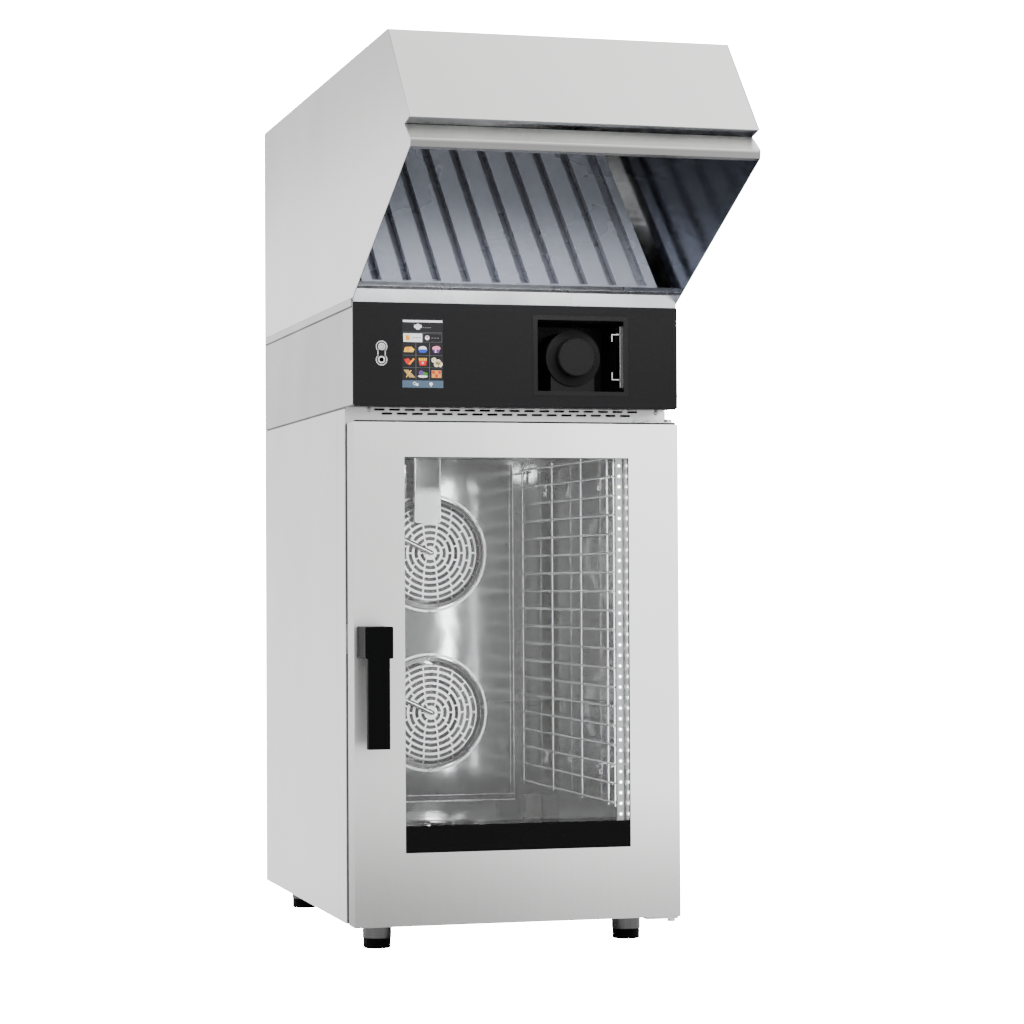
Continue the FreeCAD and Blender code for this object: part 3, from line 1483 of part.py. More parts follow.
def control_pieces():
    """Control panel, detergent bay and what the casing holds."""
    return {
        "control_glass": fascia(),
        "control_backplate": fascia_backing(),
        "button_surround": button_surround(),
        "power_button": power_button(),
        "touch_screen": touch_screen(),
        "bay_housing": bay_housing(),
        "bay_clip": bay_clip(),
        "cartridge": cartridge(),
        "control_board": control_board(),
        "cooler_frame": cooler_frame(),
        "cooler_wheel": cooler_wheel(),
        "water_valve": water_valve(),
        "drain_pipe": drain_pipe(),
        "cable_gland": cable_gland(),
    }


def hood_pieces():
    """Hood, its filter and its blower."""
    return {
        "hood_flange": hood_flange(),
        "hood_side_left": hood_side(-1),
        "hood_side_right": hood_side(1),
        "hood_top_cover": hood_top_cover(),
        "hood_visor": visor(),
        "hood_lip": hood_lip(),
        "hood_drip_tray": drip_tray(),
        "grease_filter": grease_filter(),
        "filter_rails": group([filter_rail(False), filter_rail(True)]),
        "hood_blower": blower_housing(),
        "hood_blower_wheel": blower_wheel(),
    }


os.makedirs("parts", exist_ok=True)
for pieces in (casing_pieces, door_pieces, cavity_pieces, control_pieces, hood_pieces):
    for node, shape in pieces().items():
        shape.exportStep("parts/" + node + ".step")
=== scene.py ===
"""Looks of a compact combi steamer oven with a condensing hood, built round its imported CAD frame.

Metres, +Z up, the door and the control panel face -Y. Each sub-assembly is a class: its sizes are its
fields, `finishes` says how its CAD nodes look, and its methods build its small pieces.
"""
import logging
import math
from dataclasses import dataclass, field
from enum import Enum
from typing import ClassVar

import bmesh
import bpy
from mathutils import Matrix, Vector


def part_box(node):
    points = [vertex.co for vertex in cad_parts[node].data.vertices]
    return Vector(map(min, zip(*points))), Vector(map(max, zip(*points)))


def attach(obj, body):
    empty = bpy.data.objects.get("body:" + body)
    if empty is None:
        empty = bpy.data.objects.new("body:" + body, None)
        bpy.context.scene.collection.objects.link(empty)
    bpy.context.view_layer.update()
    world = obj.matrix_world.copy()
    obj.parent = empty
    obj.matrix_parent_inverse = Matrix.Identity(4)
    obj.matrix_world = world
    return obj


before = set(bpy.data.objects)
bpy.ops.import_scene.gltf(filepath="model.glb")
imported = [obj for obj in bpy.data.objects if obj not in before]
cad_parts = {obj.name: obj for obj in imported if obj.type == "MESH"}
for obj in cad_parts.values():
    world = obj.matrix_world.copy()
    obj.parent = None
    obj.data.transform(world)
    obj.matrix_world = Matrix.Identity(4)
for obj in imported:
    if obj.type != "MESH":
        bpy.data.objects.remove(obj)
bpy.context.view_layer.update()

MM = 0.001
log = logging.getLogger("combi_steamer")

Colour = tuple[float, float, float]
Outline = list[tuple[float, float]]

FRONT, REAR, UP = (0, -1, 0), (0, 1, 0), (0, 0, 1)
HAIR = 0.01 * MM
SKIN = 0.02 * MM
DUST_COLOUR: Colour = (0.6, 0.58, 0.55)
PLASTIC_DUST_COLOUR: Colour = (0.45, 0.44, 0.42)
MARK_COLOUR: Colour = (0.82, 0.82, 0.8)
BACKDROP_GLOW = 30.0


# ---------------------------------------------------------------- node helpers
class Graph:
    """Adds and joins the nodes of one node tree."""

    def __init__(self, tree: bpy.types.NodeTree) -> None:
        """Keep the tree that the nodes go in."""
        self.tree = tree

    def add(self, kind: str, values: dict | None = None, **settings: object) -> bpy.types.Node:
        """Add a node.

        Args:
            kind: The node's type name.
            values: Input values or sockets to join, by input name or index.
            settings: Properties of the node.

        Returns:
            The new node.
        """
        node = self.tree.nodes.new(kind)
        for name, value in settings.items():
            setattr(node, name, value)
        for key, value in (values or {}).items():
            if isinstance(value, bpy.types.NodeSocket):
                self.tree.links.new(value, node.inputs[key])
            else:
                node.inputs[key].default_value = value
        return node

    def join(self, source: bpy.types.NodeSocket, target: bpy.types.NodeSocket) -> None:
        """Join an output to an input."""
        self.tree.links.new(source, target)

    def math(self, operation: str, *values: object) -> bpy.types.NodeSocket:
        """Return the result of a Math node on the given values or sockets."""
        return self.add("ShaderNodeMath", dict(enumerate(values)), operation=operation).outputs[0]

    def remap(self, value: object, source: tuple, target: tuple,
              kind: str = "LINEAR") -> bpy.types.NodeSocket:
        """Return value carried from one range to another.

        Args:
            value: The socket to carry over.
            source: Lowest and highest value coming in.
            target: Values that those two become.
            kind: How it passes between them.

        Returns:
            The output socket.
        """
        ends = {0: value, 1: source[0], 2: source[1], 3: target[0], 4: target[1]}
        return self.add("ShaderNodeMapRange", ends, interpolation_type=kind).outputs[0]

    def place(self) -> bpy.types.NodeSocket:
        """Return the point on the object."""
        return self.add("ShaderNodeTexCoord").outputs["Object"]

    def along(self, axis: int) -> bpy.types.NodeSocket:
        """Return one coordinate of the point on the object."""
        return self.add("ShaderNodeSeparateXYZ", {0: self.place()}).outputs[axis]

    def noise(self, scale: object, detail: float, **more: float) -> bpy.types.NodeSocket:
        """Return noise over the object.

        Args:
            scale: Its scale, a value or a socket.
            detail: Its octaves.
            more: Other inputs of the Noise Texture.

        Returns:
            The noise value.
        """
        values = {"Vector": self.place(), "Scale": scale, "Detail": detail, **more}
        return self.add("ShaderNodeTexNoise", values).outputs[0]

    def scale(self, colour: object, share: object) -> bpy.types.NodeSocket:
        """Return a colour made lighter or darker by share."""
        values = {0: colour, "Scale": share}
        return self.add("ShaderNodeVectorMath", values, operation="SCALE").outputs[0]

    def blend(self, share: object, first: object, second: object) -> bpy.types.NodeSocket:
        """Return a colour between two others, by share."""
        node = self.add("ShaderNodeMix", {0: share, 6: first, 7: second}, data_type="RGBA")
        return node.outputs[2]


def rgba(colour: Colour) -> tuple[float, float, float, float]:
    """Return the colour with full opacity."""
    return (*colour, 1.0)


class GroupKit:
    """The shader node groups that several finishes share. Each is built once."""

    def __init__(self) -> None:
        """Build every group."""
        self.grain = self._grain()
        self.cloud = self._cloud()
        self.edges = self._edges()
        self.speckle = self._speckle()
        self.sweep = self._sweep()
        self.seam = self._seam()
        self.dust = self._dust()
        self.marks = self._marks()

    @staticmethod
    def _start(name: str, inputs: dict[str, object], outputs: dict[str, str]) -> tuple:
        """Make an empty group with named sockets.

        Args:
            name: The group's name.
            inputs: Default value of each input; a tuple makes a vector input.
            outputs: Kind of each output, Float, Vector or Color.

        Returns:
            The graph, the group's input node and its output node.
        """
        tree = bpy.data.node_groups.new(name, "ShaderNodeTree")
        for label, value in inputs.items():
            kind = "NodeSocketVector" if isinstance(value, tuple) else "NodeSocketFloat"
            socket = tree.interface.new_socket(name=label, in_out="INPUT", socket_type=kind)
            socket.default_value = value
        for label, kind in outputs.items():
            tree.interface.new_socket(name=label, in_out="OUTPUT", socket_type="NodeSocket" + kind)
        graph = Graph(tree)
        return graph, graph.add("NodeGroupInput"), graph.add("NodeGroupOutput")

    @staticmethod
    def _swing(graph: Graph, given: bpy.types.Node, out: bpy.types.Node, noise: bpy.types.NodeSocket,
               middle: tuple[float, float]) -> bpy.types.NodeTree:
        """Put noise out as a height, and as a shade that swings round 1 by the group's Depth.

        Args:
            graph: The group's graph.
            given: Its input node.
            out: Its output node.
            noise: The noise value.
            middle: Part of the noise that the swing covers.

        Returns:
            The finished group.
        """
        swing = graph.math("MULTIPLY", graph.remap(noise, middle, (-1.0, 1.0)), given.outputs["Depth"])
        graph.join(graph.math("ADD", swing, 1.0), out.inputs["Shade"])
        graph.join(noise, out.inputs["Height"])
        return graph.tree

    def _grain(self) -> bpy.types.NodeTree:
        """Fine streaks of brushed or rolled metal, stretched along one direction."""
        graph, given, out = self._start("brushed_grain", {"Stretch": (900.0, 900.0, 9.0), "Depth": 0.03},
                                        {"Shade": "Float", "Height": "Float"})
        drawn = graph.add("ShaderNodeVectorMath", {0: graph.place(), 1: given.outputs["Stretch"]},
                          operation="MULTIPLY")
        noise = graph.add("ShaderNodeTexNoise", {"Vector": drawn.outputs[0], "Scale": 1.0, "Detail": 3.0,
                                                 "Roughness": 0.65})
        return self._swing(graph, given, out, noise.outputs[0], (0.25, 0.75))

    def _speckle(self) -> bpy.types.NodeTree:
        """Even fine grain of moulded plastic, paint or rubber."""
        graph, given, out = self._start("fine_speckle", {"Scale": 1800.0, "Depth": 0.06},
                                        {"Shade": "Float", "Height": "Float"})
        return self._swing(graph, given, out, graph.noise(given.outputs["Scale"], 2.0), (0.3, 0.7))

    def _cloud(self) -> bpy.types.NodeTree:
        """Slow variation over a whole sheet, between two values."""
        graph, given, out = self._start("slow_cloud", {"Scale": 3.0, "Low": 0.0, "High": 1.0},
                                        {"Value": "Float"})
        noise = graph.noise(given.outputs["Scale"], 2.0)
        value = graph.remap(noise, (0.3, 0.7), (given.outputs["Low"], given.outputs["High"]))
        graph.join(value, out.inputs["Value"])
        return graph.tree

    def _edges(self) -> bpy.types.NodeTree:
        """Rounded normals at sharp edges and a mask that is 1 on them."""
        graph, given, out = self._start("soft_edges", {"Radius": 0.0008},
                                        {"Normal": "Vector", "Mask": "Float"})
        bevel = graph.add("ShaderNodeBevel", {"Radius": given.outputs["Radius"]}, samples=4)
        true = graph.add("ShaderNodeNewGeometry").outputs["Normal"]
        dot = graph.add("ShaderNodeVectorMath", {0: bevel.outputs[0], 1: true}, operation="DOT_PRODUCT")
        turned = graph.math("SUBTRACT", 1.0, dot.outputs["Value"])
        graph.join(bevel.outputs[0], out.inputs["Normal"])
        graph.join(graph.remap(turned, (0.02, 0.3), (0.0, 1.0)), out.inputs["Mask"])
        return graph.tree

    def _sweep(self) -> bpy.types.NodeTree:
        """A factor that changes slowly across a sheet and up it, as soft light falls off."""
        values = {"Left": -0.25, "Right": 0.25, "Foot": 0.05, "Head": 0.25, "At left": 1.0, "At right": 1.0,
                  "At foot": 1.0, "At head": 1.0}
        graph, given, out = self._start("slow_sweep", values, {"Value": "Float"})
        way = given.outputs
        across = graph.remap(graph.along(0), (way["Left"], way["Right"]), (way["At left"], way["At right"]),
                             "SMOOTHSTEP")
        upward = graph.remap(graph.along(2), (way["Foot"], way["Head"]), (way["At foot"], way["At head"]),
                             "SMOOTHSTEP")
        graph.join(graph.math("MULTIPLY", across, upward), out.inputs["Value"])
        return graph.tree

    def _seam(self) -> bpy.types.NodeTree:
        """Mask of the dark line where two sheets meet, straight across one axis."""
        graph, given, out = self._start("sheet_seam", {"Axis": (0.0, 0.0, 1.0), "Place": 0.0, "Width": 0.001},
                                        {"Mask": "Float"})
        along = graph.add("ShaderNodeVectorMath", {0: graph.place(), 1: given.outputs["Axis"]},
                          operation="DOT_PRODUCT")
        away = graph.math("ABSOLUTE", graph.math("SUBTRACT", along.outputs["Value"], given.outputs["Place"]))
        line = graph.remap(away, (0.0, given.outputs["Width"]), (1.0, 0.0))
        graph.join(graph.math("MINIMUM", graph.math("MULTIPLY", line, 1.6), 1.0), out.inputs["Mask"])
        return graph.tree

    def _dust(self) -> bpy.types.NodeTree:
        """Mask of thin dust on faces that look up."""
        graph, given, out = self._start("settled_dust", {"Amount": 0.2}, {"Mask": "Float"})
        normal = graph.add("ShaderNodeNewGeometry").outputs["Normal"]
        up = graph.add("ShaderNodeSeparateXYZ", {0: normal}).outputs[2]
        patch = graph.remap(graph.noise(22.0, 4.0), (0.35, 0.7), (0.2, 1.0))
        mask = graph.math("MULTIPLY", graph.remap(up, (0.6, 1.0), (0.0, 1.0)), patch)
        graph.join(graph.math("MULTIPLY", mask, given.outputs["Amount"]), out.inputs["Mask"])
        return graph.tree

    def _marks(self) -> bpy.types.NodeTree:
        """Mask of dried water marks and wiping traces, with soft rims."""
        graph, given, out = self._start("water_marks", {"Scale": 26.0, "Amount": 0.3}, {"Mask": "Float"})
        noise = graph.noise(given.outputs["Scale"], 5.0, Distortion=0.6)
        rim = graph.math("ABSOLUTE", graph.math("SUBTRACT", noise, 0.55))
        band = graph.remap(rim, (0.0, 0.05), (1.0, 0.0))
        graph.join(graph.math("MULTIPLY", band, given.outputs["Amount"]), out.inputs["Mask"])
        return graph.tree


class Axis(Enum):
    """Axis that a seam lies across."""

    DEPTH = (0.0, 1.0, 0.0)
    HEIGHT = (0.0, 0.0, 1.0)


@dataclass(frozen=True)
class Seam:
    """One visible joint between two sheets."""

    place: float
    axis: Axis = Axis.HEIGHT
    width: float = 0.0023
    strength: float = 1.0


class Grain(Enum):
    """Direction of the streaks in a sheet, as noise scales along X, Y and Z."""

    UPRIGHT = (820.0, 820.0, 6.0)
    ACROSS = (6.0, 820.0, 820.0)
    INWARD = (820.0, 6.0, 820.0)
    EVEN = (500.0, 500.0, 500.0)


@dataclass(frozen=True)
class Finish:
    """A surface finish, made into one material."""

    name: str
    colour: Colour

    def build(self, groups: GroupKit) -> bpy.types.Material:
        """Make the material.

        Args:
            groups: The shared node groups.

        Returns:
            The finished material.
        """
        material = bpy.data.materials.new(self.name)
        material.use_nodes = True
        graph = Graph(material.node_tree)
        shader = material.node_tree.nodes["Principled BSDF"]
        self.dress(graph, shader, groups)
        return material

    def group(self, graph: Graph, tree: bpy.types.NodeTree, values: dict | None = None) -> bpy.types.Node:
        """Place a shared group with this finish's own values."""
        node = graph.add("ShaderNodeGroup", node_tree=tree)
        for name, value in (values or {}).items():
            node.inputs[name].default_value = value
        return node

    def dress(self, graph: Graph, shader: bpy.types.Node, groups: GroupKit) -> None:
        """Join the finish's nodes to the shader. Each finish has its own."""
        raise NotImplementedError


@dataclass(frozen=True)
class Steel(Finish):
    """Bare stainless or plated sheet, wire and turned parts."""

    roughness: tuple[float, float] = (0.26, 0.36)
    grain: Grain = Grain.UPRIGHT
    depth: float = 0.035
    grain_height: float = 0.00002
    wave_scale: float = 0.0
    wave_height: float = 0.0
    edge_radius: float = 0.0009
    edge_shine: float = 0.16
    dust: float = 0.0
    marks: float = 0.0
    marks_scale: float = 26.0
    metallic: float = 1.0
    # The next two settings paint light and shade into the colour: a slow change across the sheet (left,
    # right) and up it (foot, head, and the factors there).
    painted_light_across: tuple[float, float] = (1.0, 1.0)
    painted_light_up: tuple[float, float, float, float] = (0.0, 1.0, 1.0, 1.0)
    seams: tuple[Seam, ...] = ()
    inside_limit: float = 0.0
    inside_gloss: float = 0.35
    # Painted shade inside the hood: a darker colour on the inner faces, turning darker still between the two
    # Y positions below, towards the filter.
    inside_shade_colour: Colour = (0.225, 0.24, 0.285)
    deep_shade_colour: Colour = (0.045, 0.048, 0.058)
    deep_shade_start: float = -0.06
    deep_shade_end: float = -0.005

    def dress(self, graph: Graph, shader: bpy.types.Node, groups: GroupKit) -> None:
        """Brushed streaks, slow clouds, painted edge highlights, painted light and shade sweeps, seam lines,
        painted shade inside the hood, and dust or water marks where it has them.
        """
        shader.inputs["Metallic"].default_value = self.metallic
        streaks = self.group(graph, groups.grain, {"Stretch": self.grain.value, "Depth": self.depth})
        cloud = self.group(graph, groups.cloud, {"Scale": 2.2, "Low": 0.965, "High": 1.03})
        edges = self.group(graph, groups.edges, {"Radius": self.edge_radius})
        shade = graph.math("MULTIPLY", streaks.outputs["Shade"], cloud.outputs["Value"])
        # Painted highlight: a lighter colour on the edges.
        lit = graph.math("ADD", graph.math("MULTIPLY", edges.outputs["Mask"], self.edge_shine), 1.0)
        shade = graph.math("MULTIPLY", shade, lit)
        # Painted light and shade: the colour changes slowly across and up the sheet.
        foot, head, at_foot, at_head = self.painted_light_up
        at_left, at_right = self.painted_light_across
        sweep = self.group(graph, groups.sweep, {"At left": at_left, "At right": at_right, "Foot": foot,
                                                 "Head": head, "At foot": at_foot, "At head": at_head})
        shade = graph.math("MULTIPLY", shade, sweep.outputs["Value"])
        for seam in self.seams:
            line = self.group(graph, groups.seam, {"Axis": seam.axis.value, "Place": seam.place,
                                                   "Width": seam.width})
            dark = graph.math("MULTIPLY", line.outputs["Mask"], seam.strength)
            shade = graph.math("MULTIPLY", shade, graph.math("SUBTRACT", 1.0, dark))
        base = self.colour
        # Painted shade: faces inside the hood get a darker colour, darker still towards the filter.
        if self.inside_limit:
            inside = graph.blend(self.deep_shade_mask(graph), rgba(self.inside_shade_colour), rgba(self.deep_shade_colour))
            base = graph.blend(self.inside_mask(graph), rgba(self.colour), inside)
        tone = graph.scale(base, shade)
        rough_cloud = self.group(graph, groups.cloud, {"Scale": 7.0, "Low": self.roughness[0],
                                                       "High": self.roughness[1]})
        rough = rough_cloud.outputs["Value"]
        if self.inside_limit:
            gloss = graph.remap(self.inside_mask(graph), (0.0, 1.0), (1.0, self.inside_gloss))
            rough = graph.math("MULTIPLY", rough, gloss)
        if self.marks:
            marks = self.group(graph, groups.marks, {"Scale": self.marks_scale, "Amount": self.marks})
            rough = graph.math("ADD", rough, graph.math("MULTIPLY", marks.outputs["Mask"], 0.25))
            tone = graph.blend(graph.math("MULTIPLY", marks.outputs["Mask"], 0.5), tone, rgba(MARK_COLOUR))
        if self.dust:
            dust = self.group(graph, groups.dust, {"Amount": self.dust})
            rough = graph.math("ADD", rough, graph.math("MULTIPLY", dust.outputs["Mask"], 0.3))
            tone = graph.blend(dust.outputs["Mask"], tone, rgba(DUST_COLOUR))
        graph.join(tone, shader.inputs["Base Color"])
        graph.join(rough, shader.inputs["Roughness"])
        bump = graph.add("ShaderNodeBump", {"Strength": 0.35, "Distance": self.grain_height,
                                            "Height": streaks.outputs["Height"],
                                            "Normal": edges.outputs["Normal"]})
        if self.wave_scale:
            wave = self.group(graph, groups.cloud, {"Scale": self.wave_scale, "Low": 0.0, "High": 1.0})
            bump = graph.add("ShaderNodeBump", {"Strength": 1.0, "Distance": self.wave_height,
                                                "Height": wave.outputs["Value"], "Normal": bump.outputs[0]})
        graph.join(bump.outputs[0], shader.inputs["Normal"])

    def inside_mask(self, graph: Graph) -> bpy.types.NodeSocket:
        """Return 1 on the faces that look into the hood, and 0 outside."""
        return graph.math("LESS_THAN", graph.math("ABSOLUTE", graph.along(0)), self.inside_limit)

    def deep_shade_mask(self, graph: Graph) -> bpy.types.NodeSocket:
        """Return the share of painted shade deep in the hood: 0 at the hood's mouth, 1 beside the filter."""
        return graph.remap(graph.along(1), (self.deep_shade_start, self.deep_shade_end), (0.0, 1.0))


@dataclass(frozen=True)
class Moulded(Finish):
    """Plastic, rubber, paint, lacquer or fibre."""

    roughness: tuple[float, float] = (0.4, 0.5)
    specular: float = 0.3
    scale: float = 1600.0
    depth: float = 0.08
    grain_height: float = 0.00003
    edge_radius: float = 0.0006
    edge_wear: float = 0.25
    worn_colour: Colour = (0.06, 0.06, 0.06)
    dust: float = 0.0
    coat: float = 0.0
    sheen: float = 0.0

    def dress(self, graph: Graph, shader: bpy.types.Node, groups: GroupKit) -> None:
        """Fine grain, slow gloss variation and slightly worn edges."""
        shader.inputs["Specular IOR Level"].default_value = self.specular
        shader.inputs["Coat Weight"].default_value = self.coat
        shader.inputs["Coat Roughness"].default_value = 0.06
        shader.inputs["Sheen Weight"].default_value = self.sheen
        grain = self.group(graph, groups.speckle, {"Scale": self.scale, "Depth": self.depth})
        cloud = self.group(graph, groups.cloud, {"Scale": 9.0, "Low": self.roughness[0],
                                                 "High": self.roughness[1]})
        edges = self.group(graph, groups.edges, {"Radius": self.edge_radius})
        tone = graph.scale(self.colour, grain.outputs["Shade"])
        worn = graph.math("MULTIPLY", edges.outputs["Mask"], self.edge_wear)
        tone = graph.blend(worn, tone, rgba(self.worn_colour))
        if self.dust:
            dust = self.group(graph, groups.dust, {"Amount": self.dust})
            tone = graph.blend(dust.outputs["Mask"], tone, rgba(PLASTIC_DUST_COLOUR))
        graph.join(tone, shader.inputs["Base Color"])
        graph.join(cloud.outputs["Value"], shader.inputs["Roughness"])
        bump = graph.add("ShaderNodeBump", {"Strength": 0.5, "Distance": self.grain_height,
                                            "Height": grain.outputs["Height"],
                                            "Normal": edges.outputs["Normal"]})
        graph.join(bump.outputs[0], shader.inputs["Normal"])


@dataclass(frozen=True)
class ClearGlass(Finish):
    """Tempered pane that light passes through."""

    ior: float = 1.3

    def dress(self, graph: Graph, shader: bpy.types.Node, groups: GroupKit) -> None:
        """Clear body with faint wiping traces, and free passage for light."""
        shader.inputs["Metallic"].default_value = 0.0
        shader.inputs["Transmission Weight"].default_value = 1.0
        shader.inputs["IOR"].default_value = self.ior
        shader.inputs["Base Color"].default_value = rgba(self.colour)
        marks = self.group(graph, groups.marks, {"Scale": 9.0, "Amount": 0.02})
        graph.join(marks.outputs["Mask"], shader.inputs["Roughness"])
        path = graph.add("ShaderNodeLightPath")
        free = graph.math("MAXIMUM", path.outputs["Is Shadow Ray"], path.outputs["Is Diffuse Ray"])
        through = graph.add("ShaderNodeBsdfTransparent", {0: rgba((0.96, 0.97, 0.97))})
        both = graph.add("ShaderNodeMixShader", {0: free, 1: shader.outputs[0], 2: through.outputs[0]})
        output = next(n for n in graph.tree.nodes if n.type == "OUTPUT_MATERIAL")
        graph.join(both.outputs[0], output.inputs["Surface"])


@dataclass(frozen=True)
class Display(Finish):
    """A lit area of the display, or a lamp lens."""

    glow: float = 0.5
    gloss: float = 0.2

    def dress(self, graph: Graph, shader: bpy.types.Node, groups: GroupKit) -> None:
        """Even colour with a faint dot structure, and its own light."""
        dots = self.group(graph, groups.speckle, {"Scale": 2600.0, "Depth": 0.05})
        tone = graph.scale(self.colour, dots.outputs["Shade"])
        graph.join(tone, shader.inputs["Base Color"])
        graph.join(tone, shader.inputs["Emission Color"])
        shader.inputs["Emission Strength"].default_value = self.glow
        shader.inputs["Roughness"].default_value = self.gloss
        shader.inputs["Specular IOR Level"].default_value = 0.2


class Picture(Enum):
    """Inks of the display, as colour and glow, in the order of the picture's material indices."""

    WHITE = ((0.5, 0.5, 0.5), 0.35)
    DARK = ((0.008, 0.008, 0.009), 0.1)
    LINE = ((0.08, 0.08, 0.085), 0.5)
    SLATE = ((0.045, 0.075, 0.11), 0.35)
    ORANGE = ((0.55, 0.17, 0.012), 0.35)
    YELLOW = ((0.6, 0.34, 0.025), 0.35)
    RED = ((0.4, 0.012, 0.008), 0.35)
    GREEN = ((0.025, 0.15, 0.02), 0.35)
    PURPLE = ((0.09, 0.03, 0.17), 0.35)
    BLUE = ((0.015, 0.045, 0.32), 0.35)
    PINK = ((0.5, 0.17, 0.27), 0.35)
    TAN = ((0.3, 0.19, 0.07), 0.35)
    CREAM = ((0.5, 0.46, 0.3), 0.35)

    @property
    def finish(self) -> str:
        """Return the name of the ink's finish."""
        return "picture_" + self.name.lower()

    @property
    def index(self) -> int:
        """Return the ink's material index."""
        return list(Picture).index(self)


